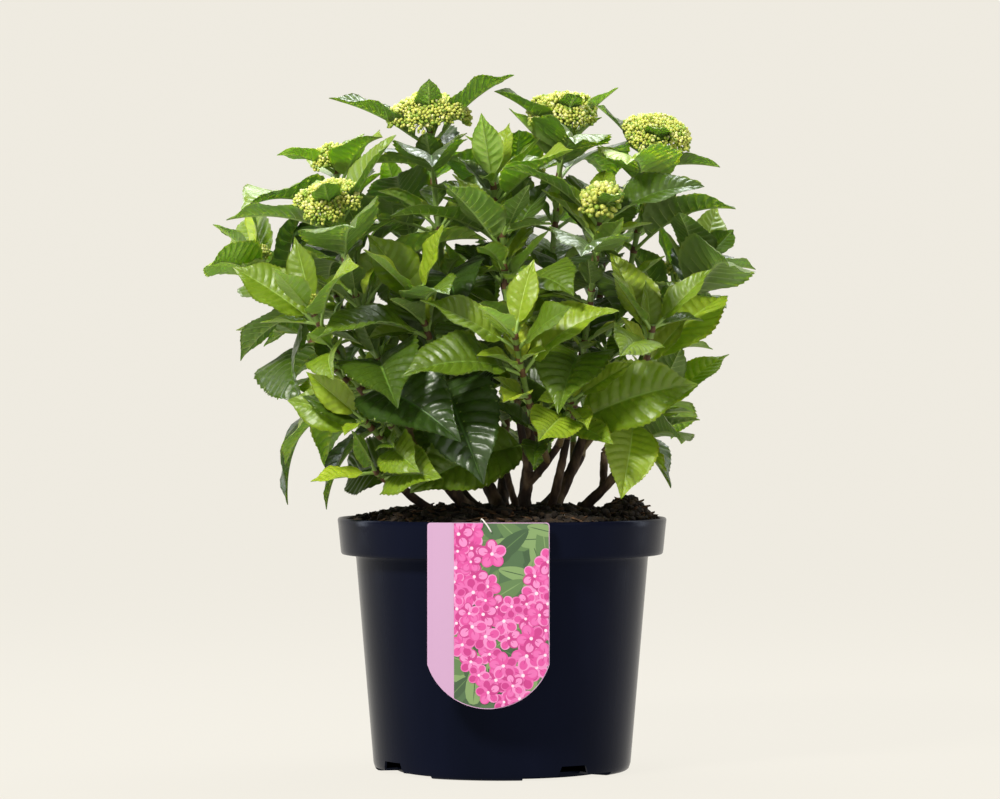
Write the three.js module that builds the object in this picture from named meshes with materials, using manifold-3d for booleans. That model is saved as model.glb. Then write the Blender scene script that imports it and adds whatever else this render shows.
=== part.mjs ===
// A potted mophead hydrangea in bud: several woody stems rise from the soil of a round nursery pot,
// fork into leafy shoots with opposite pairs of leaves, and most shoots end in a flat-topped cluster
// of unopened flower buds. A plant label hangs on the rim by a thin tie.
// Millimetres, +Z up, origin at the centre of the pot's flat underside, -Y is the label's side.
import * as THREE from "three";
import Module from "manifold-3d";
import { mergeVertices } from "three/addons/utils/BufferGeometryUtils.js";

const wasm = await Module();
wasm.setup();

// ---------------------------------------------------------------- driving dimensions
const POT_HEIGHT = 172;
const RIM_RADIUS = 112.5; // outside of the rim at its top
const RIM_LOW_RADIUS = 110;
const RIM_BAND = 25; // height of the rim's collar
const BODY_TOP_RADIUS = 100; // outside of the wall under the collar
const BASE_RADIUS = 87.5;
const WALL = 1.6;
const FLOOR = 4;
const POT_SIDES = 36;
const DRAIN_ANGLES = [-57, 33, 123, 213]; // degrees from the front towards +X
const DRAIN = { low: 27, high: 19, height: 9 }; // the trapezoid cut through the wall's foot
const FOOT_RELIEF = { halfAngle: 24, height: 2.5, innerRadius: 72 }; // raised edge beside a drain

const GAP = 0.3; // clearance between neighbouring pieces
const SOIL_LEVEL = 178; // flat middle of the soil, where the stems stand
const SOIL_EDGE = 168.5;
const SOIL_FLAT_RADIUS = 58;
const CRUMBS = 12;
const LUMP = { x: 86, y: -20, spread: 20, height: 13, crumbs: 7, size: 7 }; // the heap by the rim

const LABEL = { width: 80, height: 122, top: 172, x: -9, thickness: 0.6, bottomRadius: 42 };
const LABEL_HOLE = { x: -7.2, z: 166, radius: 2.2 };
const TIE_RADIUS = 0.5;

const LEAF_LENGTH = 88; // a full-grown blade
const LEAF_HALF_WIDTH = 0.33; // of its length
const LEAF_THICKNESS = 1;
const PETIOLE = 0.17; // stalk length, of the blade's length
const PETIOLE_RADIUS = 1.2;
const CLEAR_OTHER = 3.6; // between the blades of different shoots
const CLEAR_OWN = 2.5; // between the blades of one shoot
const CLEAR_STEM = 5.5; // from a blade to the middle of another limb
const CLEAR_HEAD = { own: 0, other: 7 }; // from a blade to the dome of a flower head
const SAMPLES = { along: 15, across: 4 }; // points of a blade that are measured

// Leaf pairs from the tip of a shoot down: distance below the tip, size, rise above square to the stem, droop
const PAIRS = [
  { below: 4, size: 0.5, rise: 58, droop: 10 },
  { below: 14, size: 0.72, rise: 44, droop: 32 },
  { below: 36, size: 1.02, rise: 34, droop: 52 },
  { below: 68, size: 1.08, rise: 24, droop: 60 },
  { below: 104, size: 1.02, rise: 15, droop: 60 },
  { below: 144, size: 0.9, rise: 8, droop: 55 },
  { below: 182, size: 0.8, rise: 4, droop: 50 },
];
// The pair under a wide flower head is smaller and flatter. One leaf stands up through the widest.
const WIDE_HEAD = 30;
const UNDER_HEAD = { size: 0.44, rise: 38, droop: 24 };
const UPRIGHT = { size: 0.5, rise: 80, droop: 8 };

// The crown's outline: its reach round the middle at each height, and the hollow over the soil.
const CROWN = {
  x: -15,
  depth: 0.95, // the reach in Y, of that in X
  reach: [[176, 142], [230, 162], [290, 172], [345, 192], [400, 178], [440, 154], [476, 90]],
  hollow: { radius: 70, edge: 112, top: 212, floor: 178 },
};

// Woody limbs. One with no parent stands on the soil at base; the others leave their parent at the
// fraction "at" of its length. tip is the far end, radii are at the foot and the tip.
const LIMBS = [
  { name: "stem_left_low", base: [-42, -20], tip: [-66, -44, 192], radii: [3.4, 2.6] },
  { name: "stem_left", base: [-18, -14], tip: [-54, -36, 218], radii: [4.6, 3.4] },
  { name: "stem_left_back", base: [-14, 14], tip: [-58, 28, 226], radii: [4.4, 3.2] },
  { name: "stem_middle", base: [0, 2], tip: [-26, 2, 238], radii: [4.8, 3.4] },
  { name: "stem_front", base: [14, -24], tip: [18, -32, 204], radii: [4.4, 3.6] },
  { name: "stem_olive", base: [32, -6], tip: [44, -16, 226], radii: [3.1, 2.6] },
  { name: "stem_right", base: [50, -6], tip: [84, -16, 210], radii: [3.8, 2.8] },
  { name: "stem_upright", base: [14, 12], tip: [20, 14, 236], radii: [4.4, 3.2] },
  { name: "stem_right_back", base: [34, 20], tip: [56, 34, 226], radii: [4.2, 3.2] },
  { name: "stem_back", base: [0, 34], tip: [2, 60, 224], radii: [4.4, 3.2] },
  { name: "stem_back_right", base: [26, 44], tip: [56, 80, 212], radii: [3.8, 2.8] },
  { name: "stub_cut", base: [12, -8], tip: [2, -17, 206], radii: [2.6, 2.4] },
  { name: "bough_front_left", on: "stem_front", at: 1, tip: [12, -40, 238], radii: [3.0, 2.5] },
  { name: "bough_front_right", on: "stem_front", at: 0.7, tip: [38, -46, 222], radii: [2.8, 2.4] },
  { name: "bough_right", on: "stem_right", at: 0.5, tip: [70, 2, 216], radii: [2.8, 2.4] },
];

// Leafy shoots. turn is the compass angle of the top pair (0 is +X, 90 is +Y), each pair below is
// a quarter turn on; head is the width of the bud cluster, 0 for none.
const SHOOTS = [
  { name: "shoot_top_left", on: "stem_middle", at: 1, tip: [-50, 4, 440], turn: 282, head: 60, upright: true },
  { name: "shoot_top_right", on: "stem_upright", at: 1, tip: [42, 22, 444], turn: 95, head: 52 },
  { name: "shoot_tall_right", on: "stem_right_back", at: 1, tip: [104, 20, 428], turn: 260, head: 54 },
  { name: "shoot_front_right", on: "stem_olive", at: 1, tip: [66, -72, 383], turn: 95, head: 34 },
  { name: "shoot_left", on: "stem_left", at: 1, tip: [-114, -58, 379], turn: 100, head: 50 },
  { name: "shoot_left_upper", on: "stem_left_back", at: 1, tip: [-116, 40, 414], turn: 35, head: 36 },
  { name: "shoot_far_left", on: "stem_left_back", at: 0.78, tip: [-168, 14, 346], turn: 165, head: 24 },
  { name: "shoot_far_right", on: "bough_right", at: 1, tip: [138, 4, 350], turn: 290, head: 22 },
  { name: "shoot_middle", on: "bough_front_left", at: 1, tip: [0, -62, 366], turn: 150, head: 0 },
  { name: "shoot_top_middle", on: "stem_upright", at: 0.8, tip: [-6, -22, 400], turn: 250, head: 0 },
  { name: "shoot_middle_left", on: "stem_middle", at: 0.72, tip: [-56, -92, 322], turn: 10, head: 0 },
  { name: "shoot_rosette", on: "bough_front_right", at: 1, tip: [46, -88, 254], turn: 15, head: 0 },
  { name: "shoot_left_bud", on: "stem_left", at: 0.78, tip: [-126, -84, 312], turn: 70, head: 16 },
  { name: "shoot_right_low", on: "stem_right", at: 1, tip: [104, -22, 254], turn: 105, head: 0 },
  { name: "shoot_left_low", on: "stem_left", at: 0.55, tip: [-92, -92, 240], turn: 100, head: 0 },
  { name: "shoot_lowest_left", on: "stem_left_low", at: 1, tip: [-86, -66, 206], turn: 200, head: 0 },
  { name: "shoot_right_front", on: "stem_right", at: 0.75, tip: [100, -78, 302], turn: 30, head: 0 },
  { name: "shoot_front", on: "bough_front_right", at: 0.6, tip: [8, -128, 296], turn: 235, head: 0 },
  { name: "shoot_back_middle", on: "stem_back", at: 1, tip: [10, 110, 410], turn: 22, head: 44 },
  { name: "shoot_back_left", on: "stem_back", at: 0.8, tip: [-72, 104, 392], turn: 70, head: 40 },
  { name: "shoot_back_low", on: "stem_back", at: 0.6, tip: [-26, 128, 322], turn: 100, head: 26 },
  { name: "shoot_back_right", on: "stem_back_right", at: 1, tip: [74, 98, 386], turn: 45, head: 38 },
  { name: "shoot_right_behind", on: "stem_right_back", at: 0.75, tip: [122, 62, 336], turn: 20, head: 28 },
  { name: "shoot_back_corner", on: "stem_back_right", at: 0.75, tip: [52, 124, 300], turn: 75, head: 0 },
  { name: "shoot_left_behind", on: "stem_left_back", at: 0.6, tip: [-118, 80, 328], turn: 140, head: 28 },
];
// How far the heads at the front lean over sideways and forwards, for a height of one.
const NODS = {
  shoot_top_left: [0, -0.25],
  shoot_top_right: [0, -0.35],
  shoot_tall_right: [0.1, -0.3],
  shoot_front_right: [-0.1, -0.8],
  shoot_left: [-0.15, -0.45],
  shoot_left_upper: [0, -0.4],
};

const SEED = 20;
const LIMB_SIDES = 5;
const SHOOT_SIDES = 4;
const SHOOT_RADII = [2.5, 1.6];
const MERGE = 0.2; // edges shorter than this are closed up where parts of a shoot are fused
const COLOURS = {
  pot: [0x15161d, 0.38],
  soil: [0x2a2119, 0.95],
  label: [0xd9a6cf, 0.4],
  tie: [0xf2f0ec, 0.5],
  wood: [0x5b4738, 0.85],
  foliage: [0x4c7a25, 0.5],
};

// ---------------------------------------------------------------- small helpers
const up = new THREE.Vector3(0, 0, 1);
const radians = THREE.MathUtils.degToRad;
const vec = (x, y, z) => new THREE.Vector3(x, y, z);
const mix = (a, b, t) => a + (b - a) * t;

// Points round a circle, for small holes and sections.
function ring(radius, count, x, y) {
  return Array.from({ length: count }, (_, i) => {
    const angle = (i * 2 * Math.PI) / count;
    return new THREE.Vector2(x + radius * Math.cos(angle), y + radius * Math.sin(angle));
  });
}

// Numbers from 0 to 1 that are the same on every run.
function randomFrom(seed) {
  let state = seed;
  return () => {
    state = (state * 1664525 + 1013904223) % 4294967296;
    return state / 4294967296;
  };
}

// A closed geometry as a solid that can be joined and cut.
function solidFrom(geometry) {
  const bare = geometry.clone();
  bare.deleteAttribute("normal");
  bare.deleteAttribute("uv");
  const merged = mergeVertices(bare, 1e-4);
  const index = merged.index.array;
  const kept = [];
  for (let i = 0; i < index.length; i += 3) {
    const [a, b, c] = [index[i], index[i + 1], index[i + 2]];
    if (a !== b && b !== c && a !== c) kept.push(a, b, c);
  }
  return new wasm.Manifold(
    new wasm.Mesh({
      numProp: 3,
      vertProperties: new Float32Array(merged.attributes.position.array),
      triVerts: new Uint32Array(kept),
    }),
  );
}

// The outer skin alone of a solid, without pockets sealed inside it.
function outerSkin(solid) {
  return solid.decompose().reduce((largest, body) => (body.volume() > largest.volume() ? body : largest));
}

function joined(solids) {
  return solids.reduce((all, one) => all.add(one));
}

function meshOf(name, solid, [colour, roughness]) {
  const { vertProperties, triVerts } = solid.getMesh();
  const geometry = new THREE.BufferGeometry();
  geometry.setAttribute("position", new THREE.BufferAttribute(new Float32Array(vertProperties), 3));
  geometry.setIndex(new THREE.BufferAttribute(new Uint32Array(triVerts), 1));
  geometry.computeVertexNormals();
  const material = new THREE.MeshStandardMaterial({ color: colour, roughness, metalness: 0 });
  const mesh = new THREE.Mesh(geometry, material);
  mesh.name = name;
  return mesh;
}

// Moves every vertex of a unit-high cylinder or cone to place(x, z, height), with x and z on the
// unit circle round its axis.
function reshaped(geometry, place) {
  const position = geometry.attributes.position;
  const height = geometry.parameters.height;
  for (let i = 0; i < position.count; i++) {
    const x = position.getX(i);
    const z = position.getZ(i);
    const t = position.getY(i) / height + 0.5;
    const round = Math.hypot(x, z) || 1;
    const onAxis = Math.hypot(x, z) < 1e-6;
    const p = place(onAxis ? 0 : x / round, onAxis ? 0 : z / round, t);
    position.setXYZ(i, p.x, p.y, p.z);
  }
  return geometry;
}

// ---------------------------------------------------------------- pot, soil and label
function turned(profile) {
  const points = profile.map(([r, z]) => new THREE.Vector2(r, z));
  return solidFrom(new THREE.LatheGeometry(points, POT_SIDES).rotateX(Math.PI / 2));
}

const RIM_BOTTOM = POT_HEIGHT - RIM_BAND;
const innerWall = (z) =>
  z < RIM_BOTTOM + WALL
    ? mix(BASE_RADIUS, BODY_TOP_RADIUS, z / RIM_BOTTOM) - WALL
    : mix(RIM_LOW_RADIUS, RIM_RADIUS, (z - RIM_BOTTOM) / RIM_BAND) - WALL;

// A wedge of ring under the pot's edge, and the trapezoid drain in its middle.
function drainCut(angle) {
  const turn = radians(angle - 90);
  const half = radians(FOOT_RELIEF.halfAngle);
  const reach = BASE_RADIUS + 8;
  const sector = new THREE.Shape();
  sector.absarc(0, 0, reach, turn - half, turn + half, false);
  sector.absarc(0, 0, FOOT_RELIEF.innerRadius, turn + half, turn - half, true);
  const relief = new THREE.ExtrudeGeometry(sector, {
    depth: FOOT_RELIEF.height + 1,
    bevelEnabled: false,
    curveSegments: 6,
  }).translate(0, 0, -1);
  const side = new THREE.Shape([
    new THREE.Vector2(-DRAIN.low / 2, -1),
    new THREE.Vector2(DRAIN.low / 2, -1),
    new THREE.Vector2(DRAIN.high / 2, DRAIN.height),
    new THREE.Vector2(-DRAIN.high / 2, DRAIN.height),
  ]);
  const hole = new THREE.ExtrudeGeometry(side, { depth: 20, bevelEnabled: false })
    .rotateX(Math.PI / 2)
    .translate(0, reach, 0)
    .rotateZ(turn - Math.PI / 2);
  return solidFrom(relief).add(solidFrom(hole));
}

function makePot() {
  const rounding = 1.2;
  const shell = turned([
    [0, 0],
    [BASE_RADIUS - 4, 0],
    [BASE_RADIUS - 0.8, 1.6],
    [BASE_RADIUS, 5],
    [BODY_TOP_RADIUS, RIM_BOTTOM],
    [RIM_LOW_RADIUS - rounding, RIM_BOTTOM],
    [RIM_LOW_RADIUS, RIM_BOTTOM + rounding],
    [RIM_RADIUS, POT_HEIGHT - rounding],
    [RIM_RADIUS - WALL / 2, POT_HEIGHT],
    [RIM_RADIUS - WALL, POT_HEIGHT - 0.4],
    [RIM_LOW_RADIUS - WALL, RIM_BOTTOM + WALL],
    [BODY_TOP_RADIUS - WALL, RIM_BOTTOM + WALL],
    [innerWall(FLOOR), FLOOR],
    [0, FLOOR],
  ]);
  return DRAIN_ANGLES.reduce((pot, angle) => pot.subtract(drainCut(angle)), shell);
}

// One crumb of potting soil, half sunk in the surface.
function crumb(x, y, z, size, random) {
  const shape = new THREE.OctahedronGeometry(1, 0)
    .scale(size * mix(0.7, 1.2, random()), size * mix(0.7, 1.2, random()), size * mix(0.5, 0.8, random()))
    .rotateZ(random() * Math.PI)
    .rotateX(mix(-0.5, 0.5, random()))
    .translate(x, y, z);
  return solidFrom(shape);
}

function soilHeight(radius) {
  const slope = Math.min(1, Math.max(0, radius - SOIL_FLAT_RADIUS) / (RIM_RADIUS - 4 - SOIL_FLAT_RADIUS));
  return mix(SOIL_LEVEL, SOIL_EDGE, slope);
}

function makeSoil() {
  const random = randomFrom(SEED + 1);
  const clear = GAP + 0.1;
  const shelf = RIM_BOTTOM + WALL + clear;
  const bodyRadius = (z) => mix(BASE_RADIUS, BODY_TOP_RADIUS, z / RIM_BOTTOM) - WALL - clear;
  const pieces = [
    turned([
      [0, FLOOR + clear],
      [bodyRadius(FLOOR) - 0.5, FLOOR + clear],
      [bodyRadius(RIM_BOTTOM) - 0.5, RIM_BOTTOM],
      [bodyRadius(RIM_BOTTOM) - 0.5, shelf],
      [RIM_LOW_RADIUS - WALL - clear - 1, shelf],
      [innerWall(SOIL_EDGE) - clear - 0.3, SOIL_EDGE],
      [SOIL_FLAT_RADIUS, SOIL_LEVEL],
      [0, SOIL_LEVEL],
    ]),
  ];
  const stems = LIMBS.filter((limb) => limb.base);
  for (let i = 0; i < CRUMBS; i++) {
    const radius = 100 * Math.sqrt(random());
    const angle = random() * 2 * Math.PI;
    const [x, y] = [radius * Math.cos(angle), radius * Math.sin(angle)];
    const size = mix(2.5, 5.5, random());
    const piece = crumb(x, y, soilHeight(radius) - 0.6, size, random);
    if (stems.every(({ base }) => Math.hypot(x - base[0], y - base[1]) > 14)) pieces.push(piece);
  }
  const lumpRoot = soilHeight(Math.hypot(LUMP.x, LUMP.y)) - 1;
  const heart = new THREE.IcosahedronGeometry(1, 1).scale(LUMP.spread * 0.7, LUMP.spread, LUMP.height);
  pieces.push(solidFrom(heart.translate(LUMP.x, LUMP.y, lumpRoot)));
  for (let i = 0; i < LUMP.crumbs; i++) {
    const angle = (i * 2 * Math.PI) / LUMP.crumbs;
    const x = LUMP.x + LUMP.spread * 0.5 * Math.cos(angle);
    const y = LUMP.y + LUMP.spread * 0.75 * Math.sin(angle);
    pieces.push(crumb(x, y, lumpRoot + LUMP.height * 0.45, LUMP.size, random));
  }
  return joined(pieces);
}

const LABEL_BACK = RIM_RADIUS + GAP; // distance of the label's back from the axis

function makeLabel() {
  const half = LABEL.width / 2;
  const low = LABEL.top - LABEL.height;
  const reach = Math.asin(half / LABEL.bottomRadius);
  const outline = new THREE.Shape();
  outline.absarc(0, low + LABEL.bottomRadius, LABEL.bottomRadius, -Math.PI / 2 - reach, -Math.PI / 2 + reach, false);
  outline.lineTo(half, LABEL.top);
  outline.lineTo(-half, LABEL.top);
  outline.holes.push(new THREE.Path(ring(LABEL_HOLE.radius, 10, LABEL_HOLE.x - LABEL.x, LABEL_HOLE.z)));
  const plate = new THREE.ExtrudeGeometry(outline, {
    depth: LABEL.thickness,
    bevelEnabled: false,
    curveSegments: 9,
  });
  return solidFrom(plate.rotateX(Math.PI / 2).translate(LABEL.x, -LABEL_BACK, 0));
}

// The tie: through the label's hole, over the label and the rim, and down to the soil.
function makeTie() {
  const { x, z } = LABEL_HOLE;
  const front = -(LABEL_BACK + LABEL.thickness);
  const route = new THREE.CatmullRomCurve3([
    vec(x, -LABEL_BACK - 0.2, z),
    vec(x - 0.3, front - 1.3, z + 0.6),
    vec(x - 2.4, front - 1.5, z + 4),
    vec(x - 5, front - 0.9, LABEL.top + 1.3),
    vec(x - 6.4, front + 1.4, LABEL.top + 2.2),
    vec(x - 6.6, front + 5, LABEL.top + 0.6),
    vec(x - 6.6, front + 7, LABEL.top - 3),
  ]);
  const section = new THREE.Shape(ring(TIE_RADIUS, 5, 0, 0));
  return solidFrom(new THREE.ExtrudeGeometry(section, { extrudePath: route, steps: 14, bevelEnabled: false }));
}

// ---------------------------------------------------------------- limbs and shoot stems
// A limb's centreline leaves its foot along the spread and turns upwards to its tip.
function spineOf(start, tip, lift) {
  const control = vec(mix(start.x, tip.x, 0.62), mix(start.y, tip.y, 0.62), mix(start.z, tip.z, lift));
  return new THREE.QuadraticBezierCurve3(start, control, tip);
}

function tapered(spine, radii, sides, steps, grow = 0, flare = 0) {
  const tube = new THREE.CylinderGeometry(1, 1, 1, sides, steps);
  return solidFrom(
    reshaped(tube, (x, z, t) => {
      const along = spine.getTangent(t);
      const across = vec(1, 0, 0).addScaledVector(along, -along.x).normalize();
      const other = across.clone().cross(along);
      const radius = mix(radii[0], radii[1], t) + grow + flare * Math.max(0, 1 - t * 5);
      const centre = spine.getPoint(t).addScaledVector(along, t === 0 ? -grow : t === 1 ? grow : 0);
      return centre.addScaledVector(across, x * radius).addScaledVector(other, z * radius);
    }),
  );
}

// Where a limb or shoot starts: on the soil, off its parent's tip, or inside its parent's flank.
function startOf(item, spines) {
  if (item.base) return vec(item.base[0], item.base[1], SOIL_LEVEL - 4);
  const parent = spines[item.on];
  const start = parent.getPoint(item.at);
  return item.at === 1 ? start.addScaledVector(parent.getTangent(1), GAP) : start;
}

// ---------------------------------------------------------------- leaves
// Half width of a blade at u along it, of the widest: broad near a third, drawn out to a point.
const outlineAt = (u) => Math.pow(Math.sin(Math.PI * Math.pow(u, 0.8)), 0.85) * (1 - 0.25 * u * u * u);

// The frame of a leaf's midrib at u from 0, the blade's base, to 1, its tip.
function midribAt(leaf, u) {
  const bend = leaf.bend;
  const turn = bend * u;
  const forward = leaf.along.clone().multiplyScalar(Math.cos(turn)).addScaledVector(leaf.normal, -Math.sin(turn));
  const normal = leaf.along.clone().multiplyScalar(Math.sin(turn)).addScaledVector(leaf.normal, Math.cos(turn));
  const centre = leaf.foot
    .clone()
    .addScaledVector(leaf.along, leaf.stalk + (leaf.length * Math.sin(turn)) / bend)
    .addScaledVector(leaf.normal, (-leaf.length * (1 - Math.cos(turn))) / bend);
  const side = forward.clone().cross(normal);
  const roll = leaf.twist * u;
  return {
    centre,
    side: side.clone().multiplyScalar(Math.cos(roll)).addScaledVector(normal, Math.sin(roll)),
    normal: normal.clone().multiplyScalar(Math.cos(roll)).addScaledVector(side, -Math.sin(roll)),
  };
}

// A point of the blade: u along, s from -1 to 1 across. The halves fold up from the midrib.
function bladePoint(leaf, u, s) {
  const { centre, side, normal } = midribAt(leaf, u);
  const reach = s * leaf.halfWidth * outlineAt(u);
  return centre
    .addScaledVector(side, reach * Math.cos(leaf.fold))
    .addScaledVector(normal, Math.abs(reach) * Math.sin(leaf.fold));
}

const RINGS = [0, 0.3, 0.7, 1]; // places along the blade where the solid has a section

const SECTION = [[1, 0], [0, -1], [-1, 0], [0, 1]]; // right edge, underside, left edge, upper side

// A leaf as one solid: a point inside the stem, the stalk, and the blade's sections out to its tip.
// Its upper and under faces are split along the same diagonals, so the two skins never cross.
function leafSolid(leaf) {
  const blade = (u) => {
    const { normal } = midribAt(leaf, u);
    return SECTION.map(([x, z]) => bladePoint(leaf, u, x).addScaledVector(normal, (z * LEAF_THICKNESS) / 2));
  };
  const { centre, side, normal } = midribAt(leaf, 0);
  const stalk = (middle) =>
    SECTION.map(([x, z]) =>
      middle
        .clone()
        .addScaledVector(side, x * PETIOLE_RADIUS)
        .addScaledVector(normal, z * PETIOLE_RADIUS),
    );
  const inStem = leaf.foot.clone().addScaledVector(leaf.along, 0.8);
  const sections = [stalk(inStem), stalk(centre), ...RINGS.slice(1, -1).map(blade)];
  const points = [leaf.foot, ...sections.flat(), midribAt(leaf, 1).centre];
  const at = (section, corner) => 1 + 4 * section + (corner % 4);
  const end = sections.length - 1;
  const faces = [];
  for (let k = 0; k < 4; k++) {
    faces.push(0, at(0, k + 1), at(0, k));
    faces.push(at(end, k), at(end, k + 1), points.length - 1);
    for (let i = 0; i < end; i++) {
      const [a, b, c, d] = [at(i, k), at(i, k + 1), at(i + 1, k + 1), at(i + 1, k)];
      faces.push(...(k % 2 ? [a, b, d, b, c, d] : [a, b, c, a, c, d]));
    }
  }
  return solidFrom(new THREE.BufferGeometry().setFromPoints(points).setIndex(faces));
}

// A blade as points and as flat triangles, for keeping leaves apart.
function bladeSurface(leaf) {
  const points = [];
  for (let i = 0; i <= SAMPLES.along; i++)
    for (let j = -SAMPLES.across; j <= SAMPLES.across; j++)
      points.push(bladePoint(leaf, i / SAMPLES.along, j / SAMPLES.across));
  const triangles = [];
  for (let i = 1; i < RINGS.length; i++)
    for (const s of [-1, 1]) {
      const [a, b] = [bladePoint(leaf, RINGS[i - 1], 0), bladePoint(leaf, RINGS[i], 0)];
      const [c, d] = [bladePoint(leaf, RINGS[i - 1], s), bladePoint(leaf, RINGS[i], s)];
      triangles.push(new THREE.Triangle(a, b, c), new THREE.Triangle(b, d, c));
    }
  return { points, triangles };
}

function stalkPoints(leaf) {
  const end = bladePoint(leaf, 0, 0);
  return [0.3, 0.5, 0.7, 0.9].map((t) => leaf.foot.clone().lerp(end, t));
}

// ---------------------------------------------------------------- flower heads
// A cluster of buds: a centre lobe and a ring of lobes on short rays, making one shallow dome.
function headFrame(shoot, spine) {
  const nod = vec(...(NODS[shoot.name] ?? [0, 0]), 0);
  const along = spine.getTangent(1).lerp(up, 0.5).add(nod).normalize();
  const across = vec(1, 0, 0).addScaledVector(along, -along.x).normalize();
  return { foot: spine.getPoint(1), along, across, other: along.clone().cross(across), width: shoot.head };
}

function headPoint(head, radius, angle, height) {
  return head.foot
    .clone()
    .addScaledVector(head.across, radius * Math.cos(angle))
    .addScaledVector(head.other, radius * Math.sin(angle))
    .addScaledVector(head.along, height);
}

const headRise = (head) => 5 + head.width * 0.14; // from the shoot's tip to the dome's edge
const domeHeight = (head, share) => headRise(head) + head.width * 0.17 * (1 - share * share);

function headSolid(head) {
  const radius = head.width / 2;
  const sides = head.width > 50 ? 8 : 6;
  const rings = [
    [0.001, -1, 0],
    [0.55, headRise(head) * 0.6, 0.1],
    [0.94, headRise(head), 0.12],
    [0.62, domeHeight(head, 0.62) + 1.5, 0.08],
    [0.001, domeHeight(head, 0) + 1.5, 0],
  ];
  const dome = new THREE.CylinderGeometry(1, 1, 1, sides, rings.length - 1, true);
  return solidFrom(
    reshaped(dome, (x, z, t) => {
      const step = Math.round(t * (rings.length - 1));
      const [share, height, bump] = rings[step];
      const angle = Math.atan2(-z, x) + (step * Math.PI) / sides;
      const swell = 1 + bump * Math.cos((angle * sides) / 2);
      const reach = share < 0.01 ? 0 : radius * share * swell;
      return headPoint(head, reach, angle, height);
    }),
  );
}

function headSamples(head) {
  const points = [];
  for (const [share, count] of [[0, 1], [0.33, 6], [0.67, 9], [1, 14]])
    for (let i = 0; i < count; i++)
      points.push(headPoint(head, (head.width / 2) * share, (i * 2 * Math.PI) / count, domeHeight(head, share)));
  return points;
}

// ---------------------------------------------------------------- growth
// When a leaf would touch another, it is turned, lifted or made smaller, in this order.
const TRIES = [
  [0, 0, 1], [0, 12, 1], [16, 0, 1], [-16, 0, 1], [0, -12, 1], [24, 12, 0.95], [-24, 12, 0.95],
  [0, 26, 0.9], [34, -8, 0.9], [-34, -8, 0.9], [0, -26, 0.9], [30, 24, 0.8], [-30, 24, 0.8],
  [46, 6, 0.78], [-46, 6, 0.78], [0, 8, 0.7], [24, -20, 0.66], [-24, -20, 0.66], [0, 34, 0.66],
  [55, 20, 0.6], [-55, 20, 0.6], [0, 0, 0.55],
];

function leafFrom(spine, length, pair, angle, draw, [turn, lift, scale]) {
  const t = 1 - pair.below / length;
  const along = spine.getTangent(t);
  const compass = angle + radians(turn);
  const out = vec(Math.cos(compass), Math.sin(compass), 0);
  out.addScaledVector(along, -out.dot(along)).normalize();
  const rise = radians(pair.rise + draw.rise + lift);
  const forward = out.multiplyScalar(Math.cos(rise)).addScaledVector(along, Math.sin(rise));
  const normal = along.clone().addScaledVector(forward, -along.dot(forward)).normalize();
  const size = LEAF_LENGTH * pair.size * draw.size * scale;
  return {
    foot: spine.getPoint(t),
    along: forward,
    normal,
    length: size,
    halfWidth: size * LEAF_HALF_WIDTH * (pair.size < 0.6 ? 0.78 : 1),
    stalk: size * PETIOLE + SHOOT_RADII[0],
    bend: radians(pair.droop + draw.droop),
    twist: radians(draw.twist),
    fold: radians(draw.fold),
  };
}

// Keeps a record of what fills space: groups of points and flat triangles, with a sphere round each.
class Space {
  constructor() {
    this.groups = [];
  }
  static group(owner, points, triangles, clear) {
    const centre = points.reduce((sum, p) => sum.add(p), vec(0, 0, 0)).divideScalar(points.length);
    const radius = Math.max(...points.map((p) => p.distanceTo(centre)));
    return { owner, points, triangles, clear, centre, radius };
  }
  static near(points, other, clear) {
    const closest = vec(0, 0, 0);
    const limit = clear * clear;
    if (other.triangles.length === 0)
      return points.some((p) => other.points.some((q) => p.distanceToSquared(q) < limit));
    return points.some((p) =>
      other.triangles.some((face) => face.closestPointToPoint(p, closest).distanceToSquared(p) < limit),
    );
  }
  blocks(one) {
    return this.groups.some((group) => {
      const clear = group.owner === one.owner ? group.clear.own : group.clear.other;
      if (clear === 0 || group.centre.distanceTo(one.centre) > group.radius + one.radius + clear) return false;
      return Space.near(group.points, one, clear) || Space.near(one.points, group, clear);
    });
  }
}

// The value at a place of a list of [place, value] steps.
function stepped(list, place) {
  const i = list.findIndex(([at]) => at > place);
  if (i < 0) return list[list.length - 1][1];
  if (i === 0) return list[0][1];
  const [[a, from], [b, to]] = [list[i - 1], list[i]];
  return mix(from, to, (place - a) / (b - a));
}

function insideCrown(p) {
  const { radius, edge, top, floor } = CROWN.hollow;
  const share = Math.min(1, Math.max(0, (Math.hypot(p.x, p.y) - radius) / (edge - radius)));
  const reach = Math.hypot(p.x - CROWN.x, p.y / CROWN.depth);
  return p.z > mix(top, floor, share) && p.z < 476 && reach < stepped(CROWN.reach, p.z);
}

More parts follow.
